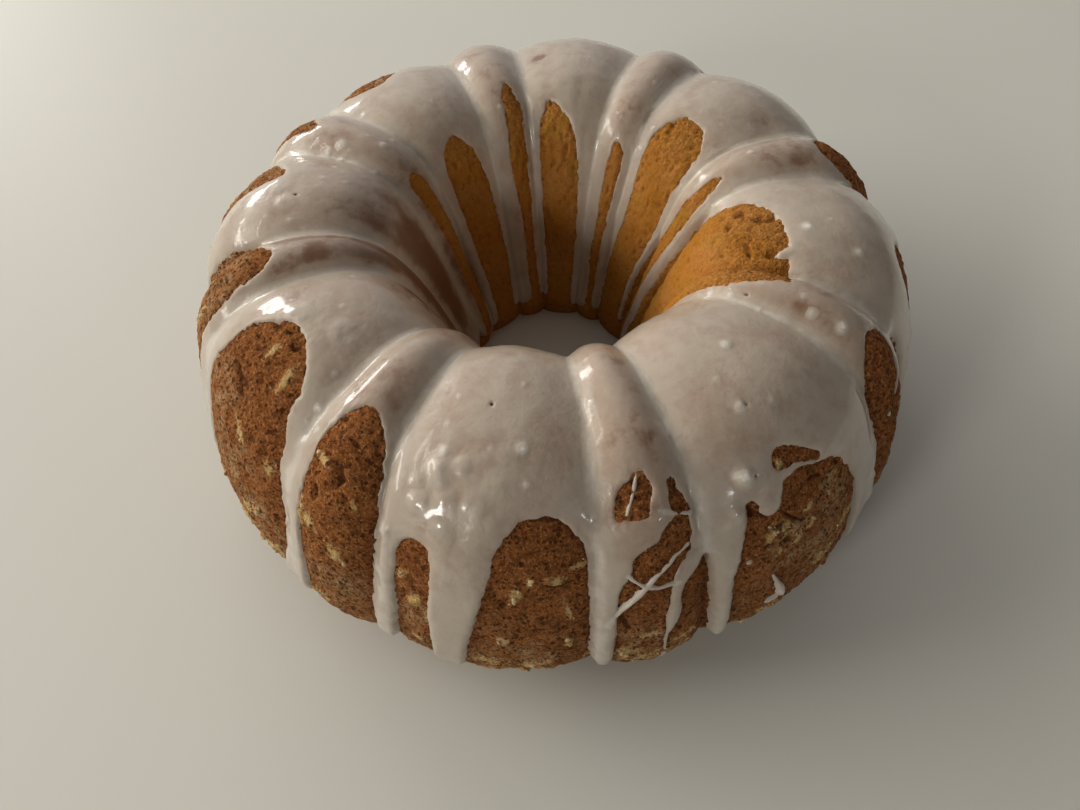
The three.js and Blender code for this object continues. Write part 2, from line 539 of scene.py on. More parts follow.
# %% The windows of bare crust
# Windows that are open at the foot start this far below the resting edge, in mm.
BASE = -8
OUTER_WINDOWS = {
    "left_lobe": [
        (BASE, -62, -47), (32, -66, -44.4), (51, -67.5, -43.3), (65, -68, -43.3), (74, -68, -44.2),
        (83, -67, -44.6), (91, -65.8, -46.3), (98, -64.8, -46.6), (104, -62.5, -49), (109, -58, -53.5),
    ],
    "left_ridge": [
        (BASE, -38.6, -29), (40, -38.9, -27.7), (56, -38.9, -27.3), (74, -38.8, -27), (87, -38.5, -27.4),
        (96, -38, -28.2), (101.6, -36.6, -29.8), (105, -34.6, -32),
    ],
    "slot": [(BASE, -24.6, -19), (46, -23.9, -18.8), (68, -23.3, -18.1), (76, -21.8, -18.8)],
    "front": [
        (BASE, -15.2, 2.0), (35, -13.8, 2.2), (51, -12.5, 2.4), (72, -10.2, 2.2), (80, -9.2, 1.6),
        (87, -6.2, -1.2),
    ],
    "egg": [
        (85.6, 6.2, 10.2), (88, 6.3, 11), (91, 6.5, 11.6), (93, 7, 11.8), (95, 8.2, 11.4), (96.8, 9.8, 11),
    ],
    "bean": [
        (82.6, 16.2, 16.9), (85, 14, 16.7), (88, 13.6, 16.1), (90, 13.7, 15.8), (92, 14, 15.5),
        (93.6, 14.7, 15.2),
    ],
    "web": [
        (BASE, 5.4, 18.6), (36, 5.5, 19.1), (47, 5.7, 19), (57, 5.8, 18.8), (63, 6, 18.5),
        (65.5, 6.5, 18.1), (67, 6.8, 17), (72, 7.7, 16), (75, 8.2, 15.9), (77, 10.1, 16),
        (79, 11.5, 16.3), (81, 12.2, 16.5), (83, 13.4, 16.6), (84.4, 14.6, 15.8),
    ],
    "right_lobe": [
        (BASE, 22, 43), (34, 22, 44.5), (52, 21.9, 44.8), (58, 22.4, 44.6), (65, 22.9, 43.2),
        (70, 23.4, 41.8), (74, 23.9, 40.9), (76.5, 24.2, 39.6), (78.2, 24.4, 37.6), (79.6, 25, 35.4),
        (81.2, 31.6, 33.6),
    ],
    "comma": [
        (80, 36.2, 37), (81.5, 35, 37.4), (83, 32.6, 36.8), (84.2, 30.2, 36), (86, 29.8, 34.9),
        (88, 30, 33.4), (89.4, 30.9, 32),
    ],
    "right_ridge": [
        (BASE, 53.6, 69), (30, 53, 69), (58, 52.2, 68), (76, 52, 65.5), (86, 53.4, 62), (91.4, 56.4, 59),
    ],
    "right_side": [
        (BASE, 74, 87), (40, 73.6, 87.4), (60, 73.5, 87), (70, 74, 86), (77, 76, 84.6), (82.4, 78.6, 82),
    ],
    "far_right": [
        (BASE, 94.6, 114), (50, 94.2, 112.5), (72, 94.6, 112), (85, 97, 111), (93, 98.4, 109),
        (98, 100.4, 107), (101, 102.8, 105.6),
    ],
    "back_right": [(BASE, 121, 138), (35, 122, 137), (58, 124, 135), (70, 128, 132)],
    "back": [(BASE, 147, 160), (44, 148, 158.4), (72, 150, 157), (84, 152.6, 155)],
    "back_left": [(BASE, 168, 187), (40, 168.6, 185), (66, 171, 183), (76, 175, 180)],
    "behind_left": [(BASE, 193, 205), (50, 194, 204), (80, 196.4, 202.4), (89, 198.6, 200.4)],
    "far_left": [
        (BASE, -151, -133), (50, -151, -132.4), (80, -150.4, -133), (91, -149, -134.2), (97, -147, -135.4),
        (101, -144, -137.2), (103.6, -141.6, -139.4),
    ],
    "left_back_ridge": [
        (BASE, -130, -118), (50, -129.6, -117.6), (75, -129, -116.6), (85, -128, -117.2),
        (91, -126.6, -118.2), (97, -124, -119), (102.4, -121.8, -119.8),
    ],
    "left_back_lobe": [
        (BASE, -114, -98.6), (40, -114, -97), (62, -113.6, -94.8), (79, -113, -95.2), (86, -112.4, -97.6),
        (92, -111, -99.4), (100, -108, -101.2), (105.6, -105.4, -102.6),
    ],
    "left_side": [
        (BASE, -92, -76.4), (49, -91, -75), (69, -89, -74.4), (77, -88.4, -74.3), (86, -87.3, -74),
        (94, -86.6, -74.4), (98, -86, -74.8), (103, -83.8, -75), (106.5, -81.2, -75.6),
        (109.4, -79.2, -77.4),
    ],
}
INNER_WINDOWS = {
    "inner_left_slit": [
        (143.6, -122.4, -120), (147, -125, -117.6), (152, -125.8, -117.6), (160, -126.8, -118.3),
        (169, -127.5, -118.9), (183, -130, -119.1), (200, -130.8, -119.6), (219, -126, -118),
    ],
    "inner_left": [
        (141.6, -146, -142.8), (145, -149, -139.2), (150, -151.6, -136.8), (160, -153.6, -135.5),
        (172, -154, -135.3), (183, -155, -135.6), (198, -155, -136.4), (212, -152.5, -135.6),
        (227, -150, -137),
    ],
    "inner_strip": [
        (128, -170, -168.8), (132, -171.6, -167.6), (138, -173.2, -167.2), (149, -173.3, -166),
        (160, -173.2, -165.5), (173, -173.1, -166.8), (189, -173.4, -167.4), (210, -174, -167),
        (228, -174, -168),
    ],
    "inner_back": [
        (137, 174.5, 177.2), (140, 172, 178.8), (143, 169, 179.8), (148, 166.4, 180.4), (155, 164.6, 180.8),
        (170, 162.4, 180.8), (189, 161.9, 180.4), (207, 161.8, 180), (228, 162.4, 179.6),
    ],
    "inner_slit": [
        (148, 147, 149), (151, 144.8, 149.6), (156, 144, 150.4), (166, 144.3, 150.2), (177, 144.7, 149.9),
        (190, 144.9, 150.4), (205, 144.4, 148.8), (224, 143, 147.4),
    ],
    "inner_right_back": [
        (130.4, 124, 128.5), (132, 120.8, 131), (136, 117.6, 134), (139, 116.8, 135.8), (145, 115.7, 136.3),
        (153, 116.2, 136.4), (166, 116, 135.2), (180, 117.2, 136.6), (192, 119, 138.4), (205, 118.5, 137.8),
        (228, 117, 135.2),
    ],
    "inner_right_strip": [
        (137.4, 101.5, 102.8), (141, 100.2, 103.8), (147, 99.6, 104.6), (154, 99.3, 105.5),
        (165, 100.7, 107), (175, 103, 113), (188, 106, 115.6), (201, 106.5, 116), (222, 106, 113.6),
    ],
    "inner_right": [
        (117.6, 59.3, 60.7), (120, 58.6, 69), (122.6, 57.6, 76.6), (125, 57, 80.6), (129, 55.9, 85),
        (133, 55, 88.2), (137, 54.3, 89.3), (145, 53.5, 91.9), (154, 53.6, 95.6), (162, 54, 96.4),
        (172, 56, 97.1), (183, 60, 97.9), (193, 66, 99.5), (204, 74, 100.1), (228, 80, 100),
    ],
}

# %% Outlines and the distance to them
# Points on the curve for each corner.
CURVE_STEPS = 4


def smooth_outline(rows):
    """A closed smooth outline through a window's rows: up one side and down the other."""
    corners = [(left, arc) for arc, left, right in rows]
    corners += [(right, arc) for arc, left, right in reversed(rows)]
    corners = np.array(corners, float)
    before = np.roll(corners, 1, 0)
    after = np.roll(corners, -1, 0)
    beyond = np.roll(corners, -2, 0)
    outline = []
    for step in range(CURVE_STEPS):
        t = step / CURVE_STEPS
        square = 2 * before - 5 * corners + 4 * after - beyond
        cubic = 3 * corners - before - 3 * after + beyond
        outline.append(0.5 * (2 * corners + (after - before) * t + square * t**2 + cubic * t**3))
    return np.stack(outline, 1).reshape(-1, 2)


def turn_between(from_azimuth, to_azimuth):
    """The shorter way round the ring, in degrees."""
    return (to_azimuth - from_azimuth + 180) % 360 - 180


def outline_distance(outline, azimuth, arc):
    """How far each point is from an outline in mm, negative inside it."""
    scale = np.radians(1) * crest_radius(arc)
    ahead = np.roll(outline, -1, 0)
    nearest = np.full(len(arc), np.inf)
    crossings = np.zeros(len(arc), int)
    for (az1, arc1), (az2, arc2) in zip(outline, ahead):
        x1 = turn_between(azimuth, az1) * scale
        x2 = x1 + (az2 - az1) * scale
        y1 = arc1 - arc
        y2 = arc2 - arc
        dx = x2 - x1
        dy = arc2 - arc1
        along = np.clip(-(x1 * dx + y1 * dy) / (dx * dx + dy * dy + 1e-9), 0, 1)
        nearest = np.minimum(nearest, np.hypot(x1 + along * dx, y1 + along * dy))
        passes = (y1 > 0) != (y2 > 0)
        where = x1 - y1 * dx / np.where(np.abs(dy) < 1e-9, 1e-9, dy)
        crossings += passes & (where > 0)
    return np.where(crossings % 2 == 1, -nearest, nearest)


# %% Drips and tongues that reach into the windows
# Each is a chain of azimuth, arc and half width in mm.
TONGUES = {
    "right_lobe_tongue": [(27.8, 80.4, 4.7), (27.6, 76.6, 3.5)],
    "right_ridge_peak": [(66, 84, 7), (60.5, 74, 1.6), (57, 70, 0.5)],
    "right_ridge_drip": [(68, 70, 4), (66.5, 50, 1.6)],
    "inner_right_bite": [(70, 118, 2.6), (68.4, 122.2, 1.3)],
    "web_strand": [
        (17.5, 70, 4), (15.6, 67.4, 3.6), (14.4, 65, 2.6), (13.7, 62.5, 1.9), (13.3, 59.5, 1.7),
        (13.2, 56, 1.7), (13.1, 52, 2.2), (12.9, 48, 1.9), (12.6, 45, 1.1), (12.2, 42.5, 0.6),
        (12.1, 36, 0.5), (12.1, 33, 0.5),
    ],
}
# Threads of glaze, which are fine enough to need smaller cells.
THREADS = {
    "long_thread": [
        (15.4, 74.5, 0.6), (13.5, 73, 0.5), (12.6, 71, 0.5), (10.7, 68, 0.6), (9.8, 66, 0.8),
        (8.6, 63, 0.95), (7.4, 60, 0.8), (6.2, 56, 0.65), (4.6, 50, 0.9),
    ],
    "short_thread": [(7.2, 69, 0.6), (8.2, 67, 0.5), (9.3, 65, 0.7)],
    "cross_thread": [(9.4, 65, 0.8), (10.8, 64, 0.5), (12, 64, 0.5), (13.6, 64, 0.6)],
    "egg_thread": [(10, 96.6, 0.25), (9.2, 93, 0.35), (8.5, 90, 0.3), (7.8, 87, 0.3)],
    "bean_band": [(12.8, 86, 0.5), (14, 84.8, 0.35), (15.2, 84, 0.3), (16.8, 82.6, 0.5)],
    "splash": [(28.0, 47, 0.4), (28.6, 43.5, 0.6), (29.2, 40, 1.0), (29.7, 36.5, 1.6), (29.8, 35, 1.6)],
    "splash_foot": [(27.4, 33.6, 0.4), (29, 34.4, 0.9)],
}
# Where the drips between the windows end, as azimuth and arc. A degree on the wall is WALL_DEGREE mm.
DRIP_TIPS = [
    (-72, 20), (-43, 21), (-26, 24), (-16.6, 24), (3.8, 26.5), (12.1, 33), (20.4, 27), (47.6, 14),
    (71, 14), (90.8, 3), (117.5, 18), (142.5, 12), (163.6, 3), (190, 17), (-158.5, 12),
    (-131.6, 16), (-116.2, 3), (-95.4, 14),
]
LOWEST_GLAZE = 24
WALL_DEGREE = 2.1
INNER_END = 217


# %% How far inside the glaze a point is
def chain_distance(chain, azimuth, arc):
    """How far each point is outside a chain of round spots joined up, in mm."""
    scale = np.radians(1) * crest_radius(arc)
    nearest = np.full(len(arc), np.inf)
    for (az1, arc1, half1), (az2, arc2, half2) in zip(chain, chain[1:]):
        x1 = turn_between(azimuth, az1) * scale
        y1 = arc1 - arc
        dx = (az2 - az1) * scale
        dy = arc2 - arc1
        along = np.clip(-(x1 * dx + y1 * dy) / (dx * dx + dy * dy), 0, 1)
        reach = half1 + (half2 - half1) * along
        nearest = np.minimum(nearest, np.hypot(x1 + along * dx, y1 + along * dy) - reach)
    return nearest


def nearest_chain(chains, azimuth, arc):
    """How far each point is outside the nearest of several chains, in mm."""
    return np.min([chain_distance(chain, azimuth, arc) for chain in chains], 0)


def base_limit(azimuth, arc):
    """How far each point is from where the glaze ends low down, outside and in the hole, in mm."""
    lowest = np.full(len(arc), float(LOWEST_GLAZE))
    for tip_azimuth, tip_arc in DRIP_TIPS:
        aside = np.abs(turn_between(azimuth, tip_azimuth)) * WALL_DEGREE
        lowest = np.minimum(lowest, tip_arc + 0.05 * aside**2 + 0.01 * aside**4)
    inner_end = INNER_END + 3 * np.sin(np.radians(azimuth * 5))
    inner_end += 2 * np.sin(np.radians(azimuth * 11 + 40))
    return np.minimum(arc - lowest, inner_end - arc)


OUTLINES = [smooth_outline(rows) for rows in (*OUTER_WINDOWS.values(), *INNER_WINDOWS.values())]
# Nothing looks further than this for an edge, in mm.
REACH = 9
CORNER_TIGHTNESS = 0.9
# What makes the glaze's edge ragged: how far, bumps of what size in mm, and the seed of the noise.
RAGGEDNESS = [(0.5, 4.5, 1), (0.42, 1.7, 2), (0.12, 0.9, 4)]


def glaze_depth(points, azimuth, arc):
    """How far inside the glaze each point is, in mm: 0 at its edge and negative on bare crust."""
    windows = np.full(len(arc), float(REACH))
    for outline in OUTLINES:
        middle = outline[:, 0].mean()
        half = np.abs(outline[:, 0] - middle).max()
        scale = np.radians(1) * crest_radius(arc)
        near = (np.abs(turn_between(azimuth, middle)) - half) * scale < REACH
        near &= (arc > outline[:, 1].min() - REACH) & (arc < outline[:, 1].max() + REACH)
        windows[near] = np.minimum(windows[near], outline_distance(outline, azimuth[near], arc[near]))
    # Where a drip's sides meet its end, the corner is round, as on any liquid.
    ends = np.exp(-CORNER_TIGHTNESS * np.minimum(base_limit(azimuth, arc), REACH))
    inside = -np.log(ends + np.exp(-CORNER_TIGHTNESS * windows)) / CORNER_TIGHTNESS
    close = np.abs(inside) < 3
    ragged = np.zeros(len(arc))
    near = points[close]
    for height, size, seed in RAGGEDNESS:
        ragged[close] += height * lumps(near, size, seed)
    ragged *= np.interp(arc, (135, 165), (1, 0.5))
    inside += ragged
    for chain in (*TONGUES.values(), *THREADS.values()):
        within = 0.3 * ragged - chain_distance(chain, azimuth, arc)
        inside = np.maximum(inside, np.minimum(within, REACH))
    return inside


print(len(OUTLINES), "windows of bare crust and", len(DRIP_TIPS), "drips")

# %% [markdown]
# ## The slow unevenness of the whole cake
#
# A baked ring is never quite true. The crust and the glaze share one slow unevenness, so that they
# stay together. A Displace modifier on each would do this too, but one function keeps both alike
# and the underside flat.

# %% Slow unevenness
# How far it moves the ring, in mm.
UNEVENNESS = 0.7


def settled(points, outward):
    """The ring's points moved by its slow unevenness, which leaves the flat underside alone."""
    amount = UNEVENNESS * lumps(points, 24, seed=3) * ease(2, 14, points[:, 2])
    return points + outward * amount[:, None]


# %% [markdown]
# ## Finishes
#
# Both main finishes are mixtures of a few colours steered by what the meshes know about
# themselves. Painted textures would need a flat map of the whole cake, while noise that follows
# the position stays sharp from near by. The pores of baked crumb are needed in the crust and on
# loose crumbs, so they are a shader node group, built once.


# %% Helpers for finishes
def new_finish(name, constants):
    """A material with an empty tree, its Principled BSDF and that node's inputs that never vary."""
    material = bpy.data.materials.new(name)
    material.use_nodes = True
    tree = material.node_tree
    tree.nodes.clear()
    surface = tree.nodes.new("ShaderNodeBsdfPrincipled")
    output = tree.nodes.new("ShaderNodeOutputMaterial")
    tree.links.new(surface.outputs[0], output.inputs["Surface"])
    for socket_name, value in constants.items():
        surface.inputs[socket_name].default_value = value
    return material, tree, surface


def mixed(tree, factor, first, second, blend="MIX"):
    """One colour mixed over another."""
    inputs = {"Factor": factor, "A": first, "B": second}
    return add(tree, "ShaderNodeMix", inputs, data_type="RGBA", blend_type=blend).outputs["Result"]


def ranged(tree, value, low, high, to_low=0.0, to_high=1.0):
    """A value moved smoothly from one range to another, and kept in it."""
    inputs = {"Value": value, "From Min": low, "From Max": high, "To Min": to_low, "To Max": to_high}
    return add(tree, "ShaderNodeMapRange", inputs, interpolation_type="SMOOTHSTEP").outputs["Result"]


def fact(tree, name):
    """What a mesh noted on its vertices."""
    return add(tree, "ShaderNodeAttribute", attribute_name=name).outputs["Fac"]


def cloud(tree, place, size, detail=2.0, roughness=0.5):
    """Noise between 0 and 1 with patches of about this size in mm."""
    inputs = {"Vector": place, "Scale": 1 / (size * MM), "Detail": detail, "Roughness": roughness}
    return add(tree, "ShaderNodeTexNoise", inputs).outputs["Fac"]


def bumped(tree, surface, height, distance, strength=1.0):
    """Gives the surface fine relief: a height that counts for this many mm."""
    inputs = {"Height": height, "Distance": distance * MM, "Strength": strength}
    join(tree, add(tree, "ShaderNodeBump", inputs).outputs[0], surface.inputs["Normal"])


def new_group(name, inputs, outputs):
    """An empty shader node group, with its input and output nodes."""
    group = bpy.data.node_groups.new(name, "ShaderNodeTree")
    for socket_name, kind, value in inputs:
        socket = group.interface.new_socket(socket_name, in_out="INPUT", socket_type=kind)
        if value is not None:
            socket.default_value = value
    for socket_name, kind in outputs:
        group.interface.new_socket(socket_name, in_out="OUTPUT", socket_type=kind)
    return group, group.nodes.new("NodeGroupInput").outputs, group.nodes.new("NodeGroupOutput").inputs


# %% Pores of baked crumb, as a group
def pores_group():
    """Dark pores of several sizes and the height of the crumb between them."""
    group, given, result = new_group(
        "crumb pores",
        [("Vector", "NodeSocketVector", None), ("Pore Size", "NodeSocketFloat", 1.2)],
        [("Pores", "NodeSocketFloat"), ("Height", "NodeSocketFloat"), ("Mottle", "NodeSocketFloat")],
    )
    scale = calc(group, "DIVIDE", 1 / MM, given["Pore Size"])
    bend = add(group, "ShaderNodeTexNoise", {"Vector": given["Vector"], "Scale": scale, "Detail": 3.0})
    bent = scaled(group, vector_calc(group, "SUBTRACT", bend.outputs["Color"], (0.5, 0.5, 0.5)), 1.3 * MM)
    place = vector_calc(group, "ADD", given["Vector"], bent)

    def crumbs(factor, detail, roughness):
        """Noise that is this many times finer than the pores."""
        inputs = {"Vector": given["Vector"], "Scale": calc(group, "MULTIPLY", scale, factor)}
        inputs |= {"Detail": detail, "Roughness": roughness}
        return add(group, "ShaderNodeTexNoise", inputs).outputs["Fac"]

    def holes(factor, wide, narrow, rare, common):
        """Pores in the middle of bent cells, in some of the cells only."""
        inputs = {"Vector": place, "Scale": calc(group, "MULTIPLY", scale, factor)}
        cells = add(group, "ShaderNodeTexVoronoi", inputs)
        hole = ranged(group, cells.outputs["Distance"], wide, narrow)
        return calc(group, "MULTIPLY", hole, ranged(group, cells.outputs["Color"], rare, common))

    mottle = crumbs(1.3, 5.0, 0.75)
    sponge = crumbs(0.75, 2.0, 0.5)
    fine = holes(1.0, 0.44, 0.2, 0.4, 0.7)
    large = holes(0.46, 0.40, 0.16, 0.45, 0.65)
    gaps = ranged(group, sponge, 0.38, 0.26)
    pores = calc(group, "MAXIMUM", calc(group, "MAXIMUM", fine, gaps), large)
    pores = calc(group, "MULTIPLY", pores, ranged(group, mottle, 0.75, 0.5, 0.35, 1.0))
    height = calc(group, "MULTIPLY_ADD", pores, -0.6, mottle)
    height = calc(group, "MULTIPLY_ADD", sponge, 0.5, height)
    group.links.new(pores, result["Pores"])
    group.links.new(height, result["Height"])
    group.links.new(mottle, result["Mottle"])
    return group


PORES = pores_group()


# %% The crust's finish
def crust_finish():
    """Browned crust: darker outside, golden in the hole, yellow where the skin tore away."""
    material, tree, surface = new_finish("browned crust", {"Specular IOR Level": 0.06})
    place = add(tree, "ShaderNodeTexCoord").outputs["Object"]
    pores = add(tree, "ShaderNodeGroup", {"Vector": place, "Pore Size": 1.15}, node_tree=PORES)
    # The crust outside is rough all over, and the hole's is nearly smooth.
    rough = calc(tree, "MULTIPLY_ADD", fact(tree, "golden"), -0.25, 1)
    rough = calc(tree, "MULTIPLY_ADD", fact(tree, "tight"), -0.53, rough)
    # Browned skin outside and golden crumb in the hole, both in patches.
    patchy = cloud(tree, place, 14, detail=3)
    speckle = cloud(tree, place, 3.2, detail=3, roughness=0.6)
    brown = mixed(tree, ranged(tree, patchy, 0.35, 0.65), OUTER_DARK, OUTER_BROWN)
    brown = mixed(tree, ranged(tree, speckle, 0.4, 0.7, 0, 0.5), brown, OUTER_WARM)
    golden = mixed(tree, ranged(tree, patchy, 0.35, 0.65), INNER_GOLD, INNER_AMBER)
    blotches = cloud(tree, place, 7, detail=2)
    olive = calc(tree, "MULTIPLY", ranged(tree, blotches, 0.5, 0.7, 0, 0.7), fact(tree, "tight"))
    golden = mixed(tree, olive, golden, INNER_OLIVE)
    colour = mixed(tree, fact(tree, "golden"), brown, golden)
    # Light grains, and a tone that varies from grain to grain.
    mottle = pores.outputs["Mottle"]
    light_grains = calc(tree, "MULTIPLY", ranged(tree, mottle, 0.52, 0.72, 0, 0.58), rough)
    colour = mixed(tree, light_grains, colour, OUTER_TAN)
    tone = ranged(tree, mottle, 0.32, 0.68, -0.5, 0.5)
    tone = calc(tree, "MULTIPLY_ADD", tone, rough, 1)
    tone_colour = add(tree, "ShaderNodeCombineXYZ", {0: tone, 1: tone, 2: tone}).outputs[0]
    colour = mixed(tree, 1.0, colour, tone_colour, "MULTIPLY")
    # Dust of pale crumb, with painted light on the crust at the back left, and torn crumb with frayed
    # edges.
    grains = cloud(tree, place, 1.5, detail=3, roughness=0.7)
    dust_and_light_mask = calc(tree, "MULTIPLY", fact(tree, "pale"), ranged(tree, grains, 0.38, 0.6))
    colour = mixed(tree, dust_and_light_mask, colour, PALE_CRUMB_AND_LIGHT)
    fibres = calc(tree, "MULTIPLY_ADD", cloud(tree, place, 0.7, detail=2), 0.7, fact(tree, "torn"))
    frayed = calc(tree, "MULTIPLY_ADD", grains, 0.8, calc(tree, "SUBTRACT", fibres, 0.82))
    torn_colour = mixed(tree, ranged(tree, speckle, 0.35, 0.65), TORN_CRUMB, TORN_YELLOW)
    torn_colour = mixed(tree, ranged(tree, grains, 0.46, 0.34, 0, 0.8), torn_colour, TORN_BROWN)
    colour = mixed(tree, ranged(tree, frayed, 0.34, 0.76), colour, torn_colour)
    # Pores and specks are dark, and the crust along the glaze's edge and in the creases is darkened with
    # painted shade.
    depth = mixed(tree, fact(tree, "golden"), PORE_DARK, PORE_GOLD)
    painted_shade = calc(tree, "MULTIPLY", fact(tree, "seam"), ranged(tree, grains, 0.5, 0.4))
    specks = ranged(tree, cloud(tree, place, 2.3, detail=2), 0.66, 0.74, 0, 0.8)
    specks = calc(tree, "MULTIPLY", specks, fact(tree, "golden"))
    pore_share = calc(tree, "MULTIPLY", rough, PORE_STRENGTH)
    pore_share = calc(tree, "MULTIPLY", pores.outputs["Pores"], pore_share)
    pore_share = calc(tree, "MULTIPLY", pore_share, ranged(tree, frayed, 0.4, 0.7, 1, 0.3))
    # The creases get painted shade on top of their real depth.
    painted_shade = calc(tree, "MAXIMUM", painted_shade, ranged(tree, fact(tree, "crease"), 0.4, 0.9, 0, 0.85))
    pore_share = calc(tree, "MAXIMUM", pore_share, calc(tree, "MAXIMUM", painted_shade, specks))
    colour = mixed(tree, pore_share, colour, depth)
    join(tree, colour, surface.inputs["Base Color"])
    join(tree, ranged(tree, mottle, 0.3, 0.7, 0.72, 0.9), surface.inputs["Roughness"])
    bumped(tree, surface, pores.outputs["Height"], 1.0, rough)
    return material


OUTER_BROWN = (0.335, 0.119, 0.034, 1)
OUTER_DARK = (0.245, 0.082, 0.022, 1)
OUTER_WARM = (0.40, 0.153, 0.046, 1)
OUTER_TAN = (0.50, 0.262, 0.115, 1)
INNER_GOLD = (0.35, 0.140, 0.020, 1)
INNER_AMBER = (0.40, 0.168, 0.040, 1)
INNER_OLIVE = (0.33, 0.165, 0.018, 1)
TORN_CRUMB = (0.69, 0.49, 0.25, 1)
TORN_YELLOW = (0.69, 0.45, 0.16, 1)
TORN_BROWN = (0.44, 0.24, 0.10, 1)
PALE_CRUMB_AND_LIGHT = (0.50, 0.33, 0.17, 1)
PORE_DARK = (0.105, 0.038, 0.014, 1)
PORE_GOLD = (0.21, 0.085, 0.018, 1)
PORE_STRENGTH = 0.95
CRUST = crust_finish()
print(CRUST.name, "has", len(CRUST.node_tree.nodes), "nodes, and its pores have", len(PORES.nodes))


# %% The glaze's finish
def film_group():
    """The colour of sugar glaze from its thickness: crust shows through where it is thin."""
    group, given, result = new_group(
        "glaze film",
        [("Vector", "NodeSocketVector", None), ("Thickness", "NodeSocketFloat", 1.0)],
        [("Color", "NodeSocketColor"), ("Height", "NodeSocketFloat")],
    )
    slow = cloud(group, given["Vector"], 15, detail=2)
    mottle = cloud(group, given["Vector"], 4.2, detail=4, roughness=0.6)
    grain = cloud(group, given["Vector"], 1.1, detail=2)
    uneven = ranged(group, slow, 0.3, 0.7, 0.74, 1.26)
    uneven = calc(group, "ADD", uneven, ranged(group, mottle, 0.3, 0.7, -0.32, 0.32))
    thickness = calc(group, "MULTIPLY", given["Thickness"], uneven)
    thin = ranged(group, thickness, 1.0, 0.1)
    very_thin = ranged(group, thickness, 0.34, 0.02)
    thick = ranged(group, thickness, 1.1, 3.2)
    colour = mixed(group, thick, GLAZE_MILKY, GLAZE_WHITE)
    # The frothiest colour is mostly reached on bubbles, where it is partly a painted highlight glow.
    colour = mixed(group, ranged(group, thickness, 4.2, 6.5), colour, GLAZE_FROTH_AND_GLOW)
    colour = mixed(group, thin, colour, GLAZE_TINTED)
    colour = mixed(group, very_thin, colour, GLAZE_SHEER)
    height = calc(group, "MULTIPLY_ADD", mottle, 0.5, calc(group, "MULTIPLY", grain, 0.12))
    group.links.new(colour, result["Color"])
    group.links.new(height, result["Height"])
    return group


GLAZE_MILKY = (0.475, 0.395, 0.312, 1)
GLAZE_WHITE = (0.58, 0.515, 0.43, 1)
GLAZE_FROTH_AND_GLOW = (0.84, 0.79, 0.71, 1)
GLAZE_TINTED = (0.39, 0.285, 0.21, 1)
GLAZE_SHEER = (0.19, 0.088, 0.040, 1)
FILM = film_group()


def glaze_finish(name, thickness):
    """Glossy sugar glaze. The thickness is an attribute's name, or one value in mm."""
    material, tree, surface = new_finish(name, GLOSSY_SUGAR)
    place = add(tree, "ShaderNodeTexCoord").outputs["Object"]
    shine = 0.7
    if isinstance(thickness, str):
        thickness = fact(tree, thickness)
        shine = ranged(tree, fact(tree, "gloss"), 0, 1, 0.05, 0.8)
    film = add(tree, "ShaderNodeGroup", {"Vector": place, "Thickness": thickness}, node_tree=FILM)
    join(tree, film.outputs["Color"], surface.inputs["Base Color"])
    join(tree, shine, surface.inputs["Coat Weight"])
    bumped(tree, surface, film.outputs["Height"], 0.7, 0.7)
    return material


GLOSSY_SUGAR = {
    "Roughness": 0.34,
    "Subsurface Weight": 0.3,
    "Subsurface Radius": (1.0, 0.8, 0.6),
    "Subsurface Scale": 1.6 * MM,
    "Coat Roughness": 0.1,
}
GLAZE = glaze_finish("poured glaze", "thickness")
print(GLAZE.name, "has", len(GLAZE.node_tree.nodes), "nodes, and its film has", len(FILM.nodes))

# %% [markdown]
# ## The baked ring
#
# The crust is the fluted ring with real relief where it is bare: the small lumps of the crumb, and
# shallow hollows where the skin stuck to the pan. Only the bare parts need it, so only they are
# cut finer. Displacing a fine mesh everywhere would cost four times the triangles for crumb that
# the glaze hides. Last the mesh is thinned out where it is smoothest, so that it stays light.

